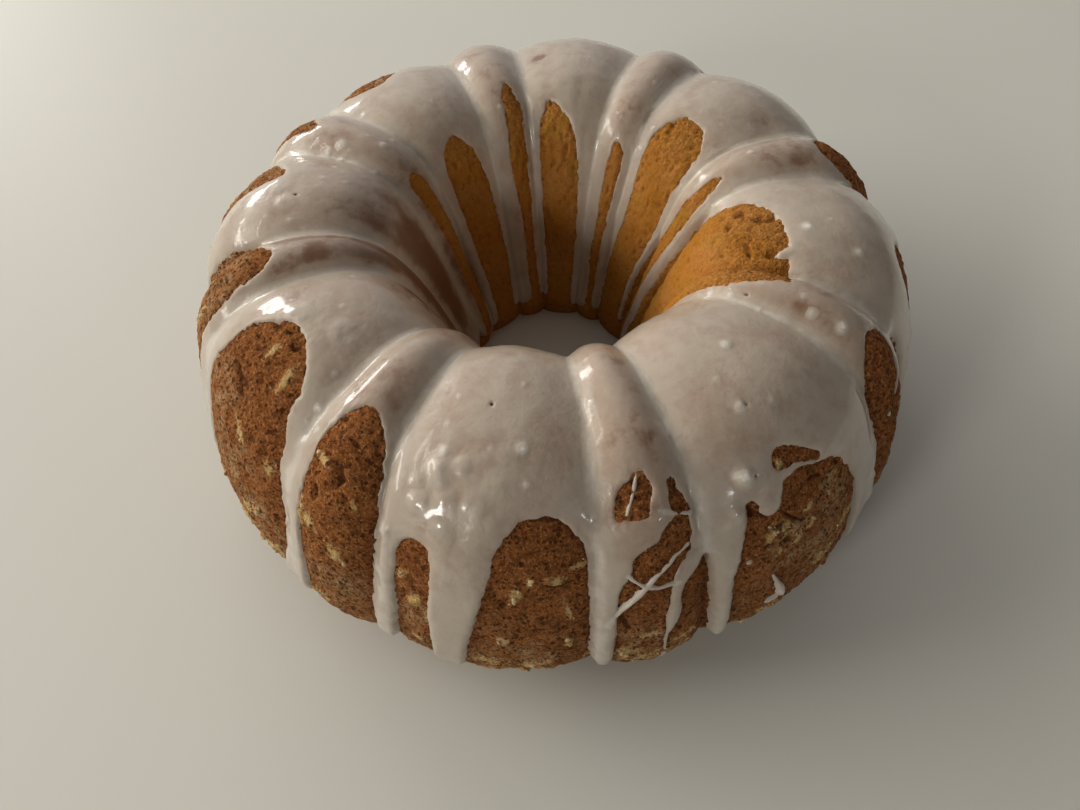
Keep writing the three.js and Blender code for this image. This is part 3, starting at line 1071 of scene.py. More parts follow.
# %% Torn patches of the crust
# Azimuth, arc, half length in mm, half width in mm and slant in degrees.
TORN = [
    (-56.2, 100, 3.4, 1.2, 6), (-50.1, 98, 4.8, 1.5, -2), (-52.7, 76, 5, 1.3, -48),
    (-46.1, 72, 3.4, 1.9, 28), (-49.1, 48, 3, 2.4, 20), (-36.1, 88, 2.6, 1.5, -66),
    (-36.6, 68, 5, 2.3, -30), (-32.1, 60, 4, 2.6, -12), (-29.8, 80, 2, 0.8, -20),
    (-0.5, 57, 5.6, 0.8, -14), (-6.9, 65, 3.2, 1.8, 15), (-1.8, 69, 2.8, 1.9, -40),
    (1.0, 73, 2.6, 1.3, 80), (-5.2, 69, 1.8, 1, -12), (-8.8, 44, 2.6, 1.7, -20),
    (-0.5, 42, 3.6, 1.6, -13), (-20.5, 54, 3.4, 2.3, 21), (-22.4, 63, 2.4, 1.4, 32),
    (-18.7, 50, 2.6, 1.3, 26), (10, 44, 3, 1.6, 70), (27.2, 66, 4.4, 1.9, 9),
    (29.8, 65.5, 4.6, 1.9, -30), (31.6, 59, 3, 1.4, 30), (28.6, 58, 2.6, 1.3, 20),
    (33.4, 68.5, 1.8, 1.2, 60), (37.4, 67.5, 1.6, 0.9, 30), (33.6, 61, 2, 0.9, 40),
    (-76.8, 77, 6, 1.5, 2), (-83, 60, 4, 2, 20), (-103, 80, 5, 1.6, -30), (-106, 58, 4, 1.8, 20),
    (86, 52, 4, 1.6, 20), (105, 70, 5, 1.6, -15), (128, 44, 4, 2, 50), (150, 60, 5, 1.8, 30),
    (178, 52, 6, 1.8, -20), (30.6, 85.4, 1.8, 1.2, 0), (198, 56, 4, 1.8, 0), (-140, 66, 5, 2, 10),
    (59, 62, 4, 1.5, -20), (64, 48, 3, 1.6, 40), (-38.8, 66, 5, 1.6, 5), (-38, 72, 3, 1.2, -20),
    (-52, 44, 4, 3, 40),
    # Along the edge where the wall turns under.
    (-48, 30, 8, 3.2, 78), (-54, 34, 7, 2.6, 75), (-62, 38, 6, 2, 75), (-36, 33, 4, 2, 80),
    (-21, 34, 3, 2.4, 80), (-11, 32, 5, 3, 85), (-5, 31, 6, 2.2, 85), (7, 35, 4, 3.2, 60),
    (8.6, 30, 6, 2.6, 85), (15, 36, 4, 1.8, 80), (38, 38, 7, 2.6, 75), (42, 48, 6, 2, 55),
    (28, 30, 4, 1.6, 80), (-88, 40, 5, 2, 80), (86, 38, 6, 2.4, 80), (104, 34, 7, 2.4, 85),
    (130, 34, 6, 2.6, 85), (154, 36, 5, 2.2, 85), (178, 34, 7, 2.6, 85), (-160, 36, 4, 2, 80),
    (-142, 34, 7, 2.6, 80), (-124, 36, 4, 2, 80), (-106, 34, 7, 2.6, 80),
]


def torn_patches(points, azimuth, arc):
    """How torn the crust is by its patches at each point, from 0 to 1."""
    torn = np.zeros(len(arc))
    scale = np.radians(1) * crest_radius(arc)
    for spot_azimuth, spot_arc, half_length, half_width, slant in TORN:
        across = turn_between(spot_azimuth, azimuth) * scale
        along = arc - spot_arc
        near = (np.abs(across) < REACH) & (np.abs(along) < REACH)
        turn = math.radians(slant)
        x = across[near] * math.cos(turn) - along[near] * math.sin(turn)
        y = across[near] * math.sin(turn) + along[near] * math.cos(turn)
        spot = 1 - np.hypot(x / half_width, y / half_length) + 0.5 * lumps(points[near], 2.2, seed=5)
        torn[near] = np.maximum(torn[near], np.clip(0.5 + 0.5 * spot, 0, 1))
    return torn


# %% Creases and pits in the crust
# Each is a chain of azimuth, arc and half width in mm.
CREASES = [
    [(-60.4, 89, 0.3), (-57.8, 87, 0.6), (-54.9, 84.5, 0.3)],
    [(-58.6, 88, 0.3), (-56.6, 88.4, 0.4), (-55, 87.5, 0.3)],
    [(-60.7, 105, 0.7), (-60.2, 105.4, 0.6)],
    [(-57.3, 107, 0.5), (-57, 107.4, 0.4)],
    [(-53.6, 105, 0.5), (-53, 106.4, 0.6)],
    [(-33.2, 89, 0.4), (-32.3, 85.6, 0.6), (-33, 83, 0.3)],
    [(-33.4, 96, 0.5), (-32, 95.2, 0.5)],
    [(-36.4, 80, 0.5), (-35.6, 78, 0.4)],
    [(26.6, 62, 0.6), (28.2, 64.4, 0.4), (30.5, 64.4, 0.9)],
    [(29.6, 61.6, 0.6), (30, 59.6, 1.2)],
    [(29.6, 71, 0.2), (31, 67, 0.4), (32.6, 63.6, 0.2)],
    [(6.4, 52, 0.6), (7.2, 47, 0.6)],
    [(34.5, 76, 0.6), (36.4, 75, 0.5)],
    [(24.6, 77.6, 0.8), (25, 75.4, 0.9)],
    [(-3.6, 67.4, 0.3), (-1.6, 66.4, 0.6), (0.4, 67, 0.3)],
    [(-5.2, 49.2, 0.3), (-3.6, 48.4, 0.5)],
    [(27, 68.8, 0.3), (28.6, 67.4, 0.6), (29.4, 68.4, 0.3)],
    [(83.6, 137, 0.6), (84.4, 135, 0.5), (83.1, 135, 0.6)],
    [(79.6, 131, 0.5), (79.2, 127, 0.8), (80.2, 125, 0.7)],
    [(71.5, 134, 0.6), (70.1, 133, 0.8), (68.2, 132, 0.4)],
    [(68.1, 126, 0.7), (68.3, 124, 0.5)],
    [(78.4, 140, 0.3), (79.7, 139, 0.5)],
    [(70.1, 142, 0.5), (69.6, 141.4, 0.4)],
]
CREASE_DEPTH = 1.1


def creased(azimuth, arc):
    """How far into a crease or a pit each point is, from 0 to 1."""
    return ease(0.8, -0.2, nearest_chain(CREASES, azimuth, arc))


print(len(CREASES), "creases and pits")

# %% The crust, with relief on its bare parts
# Where the crust is pale: dust of pale crumb, and three spots high on the back left where painted light
# brightens the crust that faces the window. Each is an azimuth, an arc and a reach in mm, and below comes
# how many mm a degree is there.
DUST_AND_LIGHT_SPOTS = [
    (33, 55, 15), (38, 44, 13), (38, 68, 6), (-20, 46, 9), (-33, 46, 11), (-50, 42, 16), (-60, 50, 14),
    (9, 40, 9), (-6, 36, 9), (-104, 86, 26), (-124, 88, 26), (-142, 90, 26), (-82, 86, 20),
    (-82, 66, 16), (-61, 74, 14), (-55, 62, 15), (41, 60, 9),
]
DUST_AND_LIGHT_DEGREE = 2.05
# The size of the ring's cells in mm before they are cut finer, and the share of triangles kept.
CRUST_SPACING = 3.5
CRUST_SHARE = 0.78
# Lumps and pits of bare crust, in mm.
RELIEF = 0.36
PIT_DEPTH = 0.75


def crust_torn(points, azimuth, arc, bare):
    """How torn the crust is: in patches, and along the edge that rested in the pan."""
    edge = ease(42, 26, arc + 6 * lumps(points, 9, seed=7)) * (arc >= 0)
    edge = edge * (0.36 + 0.75 * lumps(points, 6, seed=8)) + 0.35 * ease(14, 4, arc)
    return np.maximum(torn_patches(points, azimuth, arc) * bare, edge)


def crust_relief(points, torn, creases):
    """How far bare crust stands out at each point, in mm: lumps, pits, creases, waves and rags."""
    relief = RELIEF * (lumps(points, 2.6, seed=9) + lumps(points, 1.5, seed=10)) - 0.12
    relief -= PIT_DEPTH * ease(0.25, 0.6, lumps(points, 1.9, seed=16)) * (1 - torn)
    relief -= CREASE_DEPTH * creases
    relief += 0.4 * lumps(points, 6.5, seed=11)
    return relief + ease(0.4, 0.7, torn) * (0.3 + 0.7 * lumps(points, 1.7, seed=12))


def crust_dust_and_light(points, azimuth, arc):
    """How pale the crust is at each point: pale crumb dusted on it, and painted light on the spots at the
    back left.
    """
    dust_and_light = 0.6 * ease(66, 22, arc) + 0.08
    for spot_azimuth, spot_arc, reach in DUST_AND_LIGHT_SPOTS:
        away = np.hypot(turn_between(spot_azimuth, azimuth) * DUST_AND_LIGHT_DEGREE, arc - spot_arc)
        dust_and_light = np.maximum(dust_and_light, ease(1.3 * reach, 0.5 * reach, away))
    return np.clip(dust_and_light * (0.55 + 0.9 * lumps(points, 5, seed=14)), 0, 1)


def bake_ring():
    """The crust as a mesh object that knows where it is torn, creased or golden, where pale crumb lies on
    it, and where painted light and shade go.
    """
    ring = fluted_ring("cake_body", CRUST_SPACING, CRUST)
    mesh = ring.data
    for _ in range(2):
        points, azimuth, arc = whereabouts(mesh)
        on_wall = (arc >= 0) & (arc <= WHOLE_ARC)
        refine(mesh, (glaze_depth(points, azimuth, arc) < 0.2) & on_wall)
    points, azimuth, arc = whereabouts(mesh)
    outward = numbers(mesh, "outward")
    inside = glaze_depth(points, azimuth, arc)
    bare = ease(0.9, -0.2, inside)
    torn = crust_torn(points, azimuth, arc, bare)
    creases = creased(azimuth, arc)
    relief = crust_relief(points, torn, creases) * (bare * ease(0, 3, points[:, 2]))
    shape = settled(points, outward) + outward * relief[:, None]
    shape[:, 2] = np.maximum(shape[:, 2], 0)
    place_points(mesh, shape)
    golden = ease(CROWN_ARC - 10, CROWN_ARC + 22, arc + 6 * lumps(points, 11, seed=13))
    tight = ease(126, 156, arc + 8 * lumps(points, 9, seed=17))
    # Painted shade goes on the crust along the glaze's edge.
    seam = ease(1.7, 0.3, np.abs(inside))
    pale = crust_dust_and_light(points, azimuth, arc) * (1 - golden)
    note(mesh, golden=golden, torn=torn, seam=seam, crease=creases, tight=tight, pale=pale)
    thin_out(ring, CRUST_SHARE)
    return ring


cake_body = bake_ring()

# %% [markdown]
# ## The glaze
#
# The glaze is a skin that lies on the ring: a thin film over the lobes, thicker in the grooves,
# where it ran together, and rounded at its edges like any liquid that clings. Each vertex of the
# ring is lifted by the thickness there, and vertices just inside a window go under the crust, so
# the edge is where the two surfaces meet. Solidify can't vary its thickness so freely, and a fluid
# simulation would not stop where it should. The skin is closed by a back inside the crust, which
# nobody sees, so the back is thinned out.

# %% Bubbles, lumps and pinholes in the glaze
# Each is an azimuth, an arc, and a radius and a height in mm.
LUMPS = [
    (-18.7, 97, 5, 0.9), (-15.5, 99, 3, 0.7), (-17.0, 90, 4, 0.5), (-20.7, 88, 4, 0.7),
    (-12.4, 91, 4.5, 0.45), (-16.8, 82, 4.5, 0.5), (-9.4, 95, 5, 0.35), (-11.4, 85, 5, 0.3),
    (-21.6, 93, 2.6, 0.5), (22.6, 77.5, 3.6, 0.8), (20.8, 76, 2.6, 0.6), (-25.6, 76.5, 3.2, 0.8),
    (-50, 118, 6, 0.5), (-60, 112, 5, 0.5), (-100, 108, 6, 0.6), (-108, 112, 5, 0.5),
    (-94, 112, 4, 0.4), (-117, 118, 2.2, 0.4), (-38, 102, 3, 0.4),
]
BUBBLES = [
    (76.6, 116, 2.3, 0.45), (73.4, 100, 2.0, 0.35), (36, 119, 2.2, 0.45), (29.2, 103, 2.0, 0.4),
    (25.0, 87, 3.8, 1.3), (25.0, 87, 2.4, 0.4), (24.2, 88, 1.6, 0.4), (26.6, 86, 0.7, -0.9),
    (-113.4, 120, 1.9, 0.4), (-122.3, 131, 1.8, 0.4), (-6.7, 105, 2.1, 0.5), (-18.8, 102, 1.8, 0.4),
    (-42.4, 98, 1.7, 0.4), (65.3, 123, 2.1, 0.55), (55.2, 99, 2.2, 0.4), (54.5, 108, 1.8, 0.3),
    (34.7, 100, 1.8, 0.3), (-115.2, 114, 1.7, 0.35),
]
PINHOLES = [(-13, 116, 0.7, -1.2), (30.4, 103, 0.6, -1.0), (-95.7, 115, 0.7, -1.1), (53, 127, 0.6, -1.0)]
SMALL_BUBBLES = 90
BUBBLE_SEED = 7


def small_bubbles():
    """Small bubbles strewn over the crown, by a fixed seed."""
    draw = np.random.default_rng(BUBBLE_SEED)
    spots = []
    for _ in range(SMALL_BUBBLES):
        radius = draw.uniform(0.8, 1.3)
        place = (draw.uniform(-180, 180), draw.uniform(84, 150))
        spots.append((*place, radius, radius * draw.uniform(0.08, 0.24)))
    return spots


BUMP_SOFTNESS = 1.5
# Only bumps narrower than this are bubbles, which look white from froth and a painted highlight glow, and
# their height counts up to this much.
WIDEST_BUBBLE = 2.5
MOST_WHITE = 0.5
BUMPS = LUMPS + BUBBLES + PINHOLES + small_bubbles()


def bumps(azimuth, arc):
    """What bubbles, lumps and pinholes add in height, how much froth and painted glow the bubbles get, and
    whether one is near.
    """
    scale = np.radians(1) * crest_radius(arc)
    height = np.zeros(len(arc))
    froth_and_glow = np.zeros(len(arc))
    near = np.zeros(len(arc), bool)
    for spot_azimuth, spot_arc, radius, rise in BUMPS:
        away = np.hypot(turn_between(spot_azimuth, azimuth) * scale, arc - spot_arc)
        bump = np.clip(1 - (away / radius) ** 2, 0, 1) ** BUMP_SOFTNESS
        height += rise * bump
        if radius < WIDEST_BUBBLE:
            froth_and_glow = np.maximum(froth_and_glow, min(rise, MOST_WHITE) * bump)
        near |= away < radius + 1
    return height, froth_and_glow, near


print(len(BUMPS), "bubbles, lumps and pinholes")

# %% How thick the glaze is
# The size of the skin's cells in mm before they are cut finer, and the share of its back kept.
GLAZE_SPACING = 2.8
GLAZE_SHARE = 0.6
# How thick the film is on the crown, on the outer wall and in the hole, in mm.
FILM_ON_CROWN = 0.8
FILM_ON_WALL = 0.85
FILM_INSIDE = 0.75
# The share of the film that is left at its edge, and the bead that swells behind it, in mm.
EDGE_FILM = 0.4
BEAD = 0.05
# How much fuller drips are at the bottom, in mm.
DRIP_FULLNESS = 0.55
VALLEY_ROUNDNESS = 1.8
# A thin place takes away no more than this share of the film, or the crust would poke through.
MOST_MISSING = 0.7
# Threads and bubbles are frothy, so they look this many mm thicker than they are; on bubbles this also
# paints a highlight glow.
THREAD_WHITENESS = 3
BUBBLE_WHITENESS_AND_GLOW = 9
# How deep the skin dips under bare crust, where its back lies, and how near the floor it comes.
UNDER_CRUST = -1.5
BACK_OF_GLAZE = -2.1
LOWEST_SKIN = 0.2
# The skin ends this far out on bare crust.
EDGE_OF_SKIN = -0.7
# The grooves' depth once the glaze has run into them, at each station.
GLAZED_GROOVES = [1.2, 1.5, 2.2, 3.5, 4.8, 2.8, 1.4, 1.0]
# Where the film ran thin: azimuth, arc, half widths in degrees and mm, and how much is missing. The first
# place, on the inner wall at the left, also stands for painted shade.
THIN_AND_SHADED_PLACES = [
    (-84, 172, 48, 44, 1.3), (-100, 142, 22, 12, 0.2), (10.7, 112, 4.5, 18, 0.25),
    (-33, 114, 5, 14, 0.3), (-77.4, 122.5, 3, 3, 1.5), (-121, 116, 5, 14, 0.35),
    (-167, 120, 4, 14, 0.3), (179.2, 113.5, 1.8, 1.6, 1.6), (57, 116, 5, 14, 0.3),
    (104, 118, 4.5, 15, 0.3), (149, 120, 4, 16, 0.3), (9, 86, 6, 6, 0.45), (8.6, 77, 4, 4, 0.5),
    (20, 132, 24, 9, 0.35), (-55, 134, 20, 8, 0.35), (118, 132, 10, 9, 0.3), (-14, 92, 9, 12, 0.2),
]


def thinness_and_shade(points, azimuth, arc):
    """The share of the film that is missing at each point, which on the inner wall at the left is partly
    painted shade.
    """
    ragged = 1 + 0.35 * lumps(points, 6, seed=23)
    missing = np.zeros(len(arc))
    for spot_azimuth, spot_arc, half_turn, half_arc, amount in THIN_AND_SHADED_PLACES:
        aside = turn_between(spot_azimuth, azimuth) / half_turn
        along = (arc - spot_arc) / half_arc
        missing = np.maximum(missing, amount * np.exp(-(aside**2 + along**2)))
    return np.clip(missing * ragged, 0, 0.98)


def glaze_thickness(mesh, points, azimuth, arc, inside):
    """The height of the glaze's surface over the crust, and how thick it looks in mm, with a painted
    highlight glow on bubbles and painted shade on the inner wall at the left.
    """
    fullness = numbers(mesh, "fullness")
    depth = numbers(mesh, "depth")
    places = np.interp(arc, ARCS, PLACES)
    glazed = np.interp(places, range(SPANS + 1), GLAZED_GROOVES)
    film = (FILM_ON_WALL, FILM_ON_CROWN, FILM_ON_CROWN, FILM_INSIDE)
    film = np.interp(places, (2, 3.3, 4.4, 6), film)
    # The film is uneven along its flow, thinner over the ridges and nearly gone in thin places.
    flow = np.stack([azimuth * 2.0 / 7, arc / 17, arc * 0], 1)
    film = film + 0.22 * lumps(flow, 1, seed=20) + 0.14 * lumps(points, 5, seed=21)
    film -= 0.3 * numbers(mesh, "ridge") ** 2 * ease(2.6, 3.4, places)
    missing = thinness_and_shade(points, azimuth, arc)
    # Past MOST_MISSING the film only looks thinner: on the inner wall at the left this is painted shade,
    # and on the small spots it is the crust showing through.
    faded_and_shaded = film * np.maximum(missing - MOST_MISSING, 0)
    film *= 1 - np.minimum(missing, MOST_MISSING)
    # What ran together fills the grooves up to their glazed depth.
    filled = depth * (1 - fullness) - glazed * (1 - fullness**VALLEY_ROUNDNESS)
    raised, froth_and_glow, _ = bumps(azimuth, arc)
    raised = raised * (0.8 + 0.6 * lumps(points, 3.2, seed=22)) * ease(0, 2, inside)
    seen = film + filled * ease(0, np.interp(arc, (20, 45, 75), (1.6, 3, 4.2)), inside) + raised
    low = DRIP_FULLNESS * ease(66, 30, arc) * ease(0, 1.5, inside)
    # A rounded lip all along the edge, which is fullest at the foot of a drip.
    lip_width = np.interp(arc, (40, 75, 150, 200), (1.8, 1.7, 1.7, 1.3))
    rim = np.clip(inside / lip_width, 0, 1)
    lip = np.where(arc < 68, np.sqrt(1 - (1 - rim) ** 2), np.sin(rim * math.pi / 2))
    edge = 1 - (1 - EDGE_FILM) * ease(5, 0.5, inside) * ease(60, 75, arc)
    bead = BEAD * np.exp(-(((inside - lip_width) / (0.8 * lip_width)) ** 2))
    thickness = seen + film * (lip * edge - 1) + bead * lip + low
    # Outside its edge the skin dips under the bare crust.
    sunk = np.where(inside < 0, np.maximum(2.2 * inside, UNDER_CRUST), thickness)
    threads = nearest_chain(THREADS.values(), azimuth, arc)
    # Bumps and bubbles look whiter than their thickness, partly from sugar and froth and partly as a
    # painted highlight glow.
    gathered = raised + 0.9 * low + BUBBLE_WHITENESS_AND_GLOW * froth_and_glow * ease(0, 2, inside)
    gathered += THREAD_WHITENESS * ease(0.5, -0.3, threads)
    return sunk, seen + gathered - faded_and_shaded


# %% The glaze as a closed skin
def closed_skin(name, faces, front, back, facts):
    """A mesh of the faces on the front points, with a back on the back points and a rim."""
    used = np.unique([corner for face in faces for corner in face])
    renumber = {old: new for new, old in enumerate(used)}
    count = len(used)
    fronts = [[renumber[corner] for corner in face] for face in faces]
    backs = [[corner + count for corner in reversed(face)] for face in fronts]
    sides = {(a, b) for face in fronts for a, b in zip(face, face[1:] + face[:1])}
    rim = [(b, a, a + count, b + count) for a, b in sides if (b, a) not in sides]
    rim.sort()
    mesh = bpy.data.meshes.new(name)
    mesh.from_pydata(np.vstack([front[used], back[used]]) * MM, [], fronts + backs + rim)
    note(mesh, **{fact_name: np.tile(values[used], 2) for fact_name, values in facts.items()})
    mesh.polygons.foreach_set("use_smooth", [True] * len(mesh.polygons))
    return mesh, count


def pour_glaze():
    """The glaze as a closed mesh object that knows how thick it looks and how glossy it is."""
    skin = fluted_ring("glaze", GLAZE_SPACING, GLAZE)
    mesh = skin.data
    # The third round cuts only the threads, which are finer than anything else.
    for reach, thread_reach in ((3.0, 3), (1.3, 2), (0, 1)):
        points, azimuth, arc = whereabouts(mesh)
        wanted = np.abs(glaze_depth(points, azimuth, arc)) < reach
        wanted |= bumps(azimuth, arc)[2] & (reach > 0)
        wanted |= nearest_chain(THREADS.values(), azimuth, arc) < thread_reach
        refine(mesh, wanted & (arc >= 0) & (arc < WHOLE_ARC - 4))
    points, azimuth, arc = whereabouts(mesh)
    inside = glaze_depth(points, azimuth, arc)
    underneath = (arc < 0) | (arc > WHOLE_ARC)
    thickness, seen = glaze_thickness(mesh, points, azimuth, arc, inside)
    outward = numbers(mesh, "outward")
    base = settled(points, outward)
    front = base + outward * thickness[:, None]
    back = base + outward * BACK_OF_GLAZE
    for side in (front, back):
        side[:, 2] = np.maximum(side[:, 2], LOWEST_SKIN)
    glazed = np.where(underneath, np.nan, inside)
    faces = [list(face.vertices) for face in mesh.polygons]
    faces = [face for face in faces if glazed[face].max() > EDGE_OF_SKIN]
    gloss = ease(0, 2.2, inside) * np.interp(arc, (135, 170), (1, 0.15))
    facts = {"thickness": seen, "gloss": gloss}
    closed, fronts = closed_skin("glaze", faces, front, back, facts)
    closed.materials.append(GLAZE)
    skin.data = closed
    thin_out(skin, GLAZE_SHARE, fronts)
    return skin


glaze = pour_glaze()

# %% [markdown]
# ## Drops of glaze
#
# Where the glaze broke up at the end of the pour it left a few loose drops on the bare crust. Each
# is a place by azimuth and arc, dropped onto the crust by a ray, and a Geometry Nodes tree sets a
# flattened ball there, half sunk in as a clinging drop is. They could be set by hand, but then
# each would have to be moved again whenever the crust changes.

# %% Finding the surface
# Rays start this many mm outside the crest line.
ABOVE_CRUST = 8
CRUST_SURFACE = BVHTree.FromPolygons(
    [vertex.co for vertex in cake_body.data.vertices],
    [tuple(face.vertices) for face in cake_body.data.polygons],
)


def drop_onto_crust(azimuth, arc):
    """The point of the crust at an azimuth and arc, and the way out there."""
    place = float(np.interp(arc, ARCS, PLACES))
    radius, height = crest_point(place)
    sideways, upwards = crest_outward(place)
    turn = math.radians(azimuth)
    side = Vector((math.sin(turn), -math.cos(turn), 0))
    point = (side * radius + Vector((0, 0, height))) * MM
    outward = side * sideways + Vector((0, 0, upwards))
    return CRUST_SURFACE.ray_cast(point + outward * ABOVE_CRUST * MM, -outward)[0], outward


# %% The tree that sets drops
def drop_tree():
    """Sets a flattened ball of its own width on each spot, upright on the crust."""
    tree, given = new_shape_tree(
        "glaze drops",
        [
            ("Spots", "NodeSocketGeometry", None),
            ("Flatness", "NodeSocketFloat", 0.6),
            ("Segments", "NodeSocketInt", 16),
            ("Material", "NodeSocketMaterial", None),
        ],
    )
    ball_inputs = {"Segments": given["Segments"], "Rings": 12, "Radius": 1.0}
    ball = add(tree, "GeometryNodeMeshUVSphere", ball_inputs).outputs["Mesh"]
    outward = noted(tree, "outward", "FLOAT_VECTOR")
    upright = add(tree, "FunctionNodeAlignRotationToVector", {"Vector": outward}, axis="Z")
    width = noted(tree, "width")
    height = calc(tree, "MULTIPLY", width, given["Flatness"])
    size = add(tree, "ShaderNodeCombineXYZ", {0: width, 1: width, 2: height}).outputs[0]
    inputs = {"Points": given["Spots"], "Instance": ball, "Rotation": upright.outputs[0], "Scale": size}
    placed = add(tree, "GeometryNodeInstanceOnPoints", inputs).outputs[0]
    return finish_tree(tree, placed, given["Material"])


DROP_GLAZE = glaze_finish("drops of glaze", 1.3)
# Loose drops on the crust as azimuth, arc and radius in mm.
DROPS = [
    (24.0, 59, 0.95), (55.0, 65, 0.8), (27.8, 29, 0.8), (12.2, 29, 1.0), (12.2, 25.6, 0.7),
    (63, 62, 1.0), (63.5, 121.4, 1.0), (58, 55, 0.6), (150, 52, 0.8), (-106, 50, 0.7), (178, 60, 0.9),
]


def set_drops():
    """The loose drops as one mesh object."""
    mesh = bpy.data.meshes.new("drop spots")
    placed = [drop_onto_crust(azimuth, arc) for azimuth, arc, radius in DROPS]
    mesh.from_pydata([point for point, outward in placed], [], [])
    note(mesh, width=[radius * MM for azimuth, arc, radius in DROPS])
    directions = mesh.attributes.new("outward", "FLOAT_VECTOR", "POINT")
    directions.data.foreach_set("vector", np.ravel([outward for point, outward in placed]))
    return grow("glaze_drops", drop_tree(), mesh, DROP_GLAZE)


glaze_drops = set_drops()
print("drops", triangle_count(glaze_drops.data), "triangles")

# %% [markdown]
# ## Loose crumbs
#
# Where the skin tore, crumbs cling to the cake. They are scattered by a Geometry Nodes tree over
# the torn parts of the crust, which the crust's mesh has noted, and each one is a small stone-like
# lump of a few dozen faces. Hair particles with a vertex group could scatter them too, but a tree
# keeps their four shapes, their sizes and their seed in one place.

# %% The tree that scatters crumbs
CRUMB_SEED = 5
SIDES_SEED = 77


def crumb_tree():
    """Scatters crumbs of four shapes over the torn crust, most of them small."""
    tree, given = new_shape_tree(
        "loose crumbs",
        [
            ("Crust", "NodeSocketGeometry", None),
            ("Density", "NodeSocketFloat", 260000.0),
            ("Smallest", "NodeSocketFloat", 0.25 * MM),
            ("Largest", "NodeSocketFloat", 0.85 * MM),
            ("Seed", "NodeSocketInt", CRUMB_SEED),
            ("Material", "NodeSocketMaterial", None),
        ],
    )
    height = add(tree, "ShaderNodeSeparateXYZ", {0: add(tree, "GeometryNodeInputPosition").outputs[0]})
    clear = calc(tree, "GREATER_THAN", height.outputs["Z"], calc(tree, "MULTIPLY", given["Largest"], 2))
    loose = calc(tree, "MAXIMUM", calc(tree, "MULTIPLY_ADD", noted(tree, "torn"), 2.5, -1.1), 0)
    density = calc(tree, "MULTIPLY", given["Density"], calc(tree, "MULTIPLY", clear, loose))
    inputs = {"Mesh": given["Crust"], "Density": density, "Seed": given["Seed"]}
    spread = add(tree, "GeometryNodeDistributePointsOnFaces", inputs, distribute_method="RANDOM")
    ball = add(tree, "GeometryNodeMeshUVSphere", {"Segments": 7, "Rings": 5, "Radius": 1.0}).outputs["Mesh"]
    shapes = add(tree, "GeometryNodeJoinGeometry")
    place = add(tree, "GeometryNodeInputPosition").outputs[0]
    for variant in range(4):
        moved = vector_calc(tree, "ADD", place, (variant * 7.0, 3.0, 5.0))
        rough = add(tree, "ShaderNodeTexNoise", {"Vector": moved, "Scale": 0.9})
        push = scaled(tree, vector_calc(tree, "SUBTRACT", rough.outputs["Color"], (0.5, 0.5, 0.5)), 1.7)
        lump = add(tree, "GeometryNodeSetPosition", {0: ball, "Offset": push}).outputs[0]
        one = add(tree, "GeometryNodeGeometryToInstance", {0: lump}).outputs[0]
        tree.links.new(one, shapes.inputs[0])

    def drawn(seed, kind="FLOAT_VECTOR", **limits):
        """A random value for each crumb."""
        made = add(tree, "FunctionNodeRandomValue", {"Seed": seed}, data_type=kind)
        for name, value in limits.items():
            made.inputs[name].default_value = (value, value, value)
        return next(socket for socket in made.outputs if socket.enabled)

    spread_sizes = calc(tree, "SUBTRACT", given["Largest"], given["Smallest"])
    mostly_small = calc(tree, "POWER", drawn(given["Seed"], "FLOAT"), 3)
    crumb_size = calc(tree, "MULTIPLY_ADD", mostly_small, spread_sizes, given["Smallest"])
    inputs = {"Points": spread.outputs["Points"], "Instance": shapes.outputs[0], "Pick Instance": True}
    inputs["Rotation"] = drawn(given["Seed"], Max=math.tau)
    inputs["Scale"] = scaled(tree, drawn(SIDES_SEED, Min=0.5, Max=1.3), crumb_size)
    placed = add(tree, "GeometryNodeInstanceOnPoints", inputs).outputs[0]
    return finish_tree(tree, placed, given["Material"])


def crumb_finish():
    """Torn crumb: yellow, paler and browner from piece to piece, with fine pores."""
    material, tree, surface = new_finish("torn crumb", {"Roughness": 0.85})
    place = add(tree, "ShaderNodeTexCoord").outputs["Object"]
    pores = add(tree, "ShaderNodeGroup", {"Vector": place, "Pore Size": 0.8}, node_tree=PORES)
    drift = cloud(tree, place, 2.4, detail=2)
    colour = mixed(tree, ranged(tree, drift, 0.35, 0.5), CRUMB_BROWN, TORN_CRUMB)
    colour = mixed(tree, ranged(tree, drift, 0.55, 0.75), colour, CRUMB_PALE)
    colour = mixed(tree, calc(tree, "MULTIPLY", pores.outputs["Pores"], 0.4), colour, CRUMB_BROWN)
    join(tree, colour, surface.inputs["Base Color"])
    bumped(tree, surface, pores.outputs["Height"], 0.25)
    return material


CRUMB_BROWN = (0.34, 0.18, 0.065, 1)
CRUMB_PALE = (0.72, 0.53, 0.29, 1)
loose_crumbs = grow("loose_crumbs", crumb_tree(), cake_body.data.copy(), crumb_finish())
print("crumbs", triangle_count(loose_crumbs.data), "triangles")

# %% [markdown]
# ## Every piece joins the frame
#
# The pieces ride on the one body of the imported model, and the baked ring stands for its solid.

# %% Pieces and the frame
PIECES = [(cake_body, "crust"), (glaze, "glaze"), (glaze_drops, "glaze"), (loose_crumbs, "crust")]
for piece, slot in PIECES:
    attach(piece, "root")
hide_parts("cake")
print(len(PIECES), "pieces,", sum(triangle_count(piece.data) for piece, slot in PIECES), "triangles")

# %% [markdown]
# ## Floor and light
#
# A plain pale floor and soft light from a window on the left, low enough to rake over the drips.
# The rest of the room is a dim even glow. One large light would give the same shading, but a
# glossy glaze shows what stands round it, so smaller lights that it mirrors give its gleams.

# %% Floor and light
FLOOR_SIZE = 3000 * MM
FLOOR_COLOUR = (0.65, 0.64, 0.58, 1)
LIGHTS_AIM = Vector((0, 0, 40 * MM))


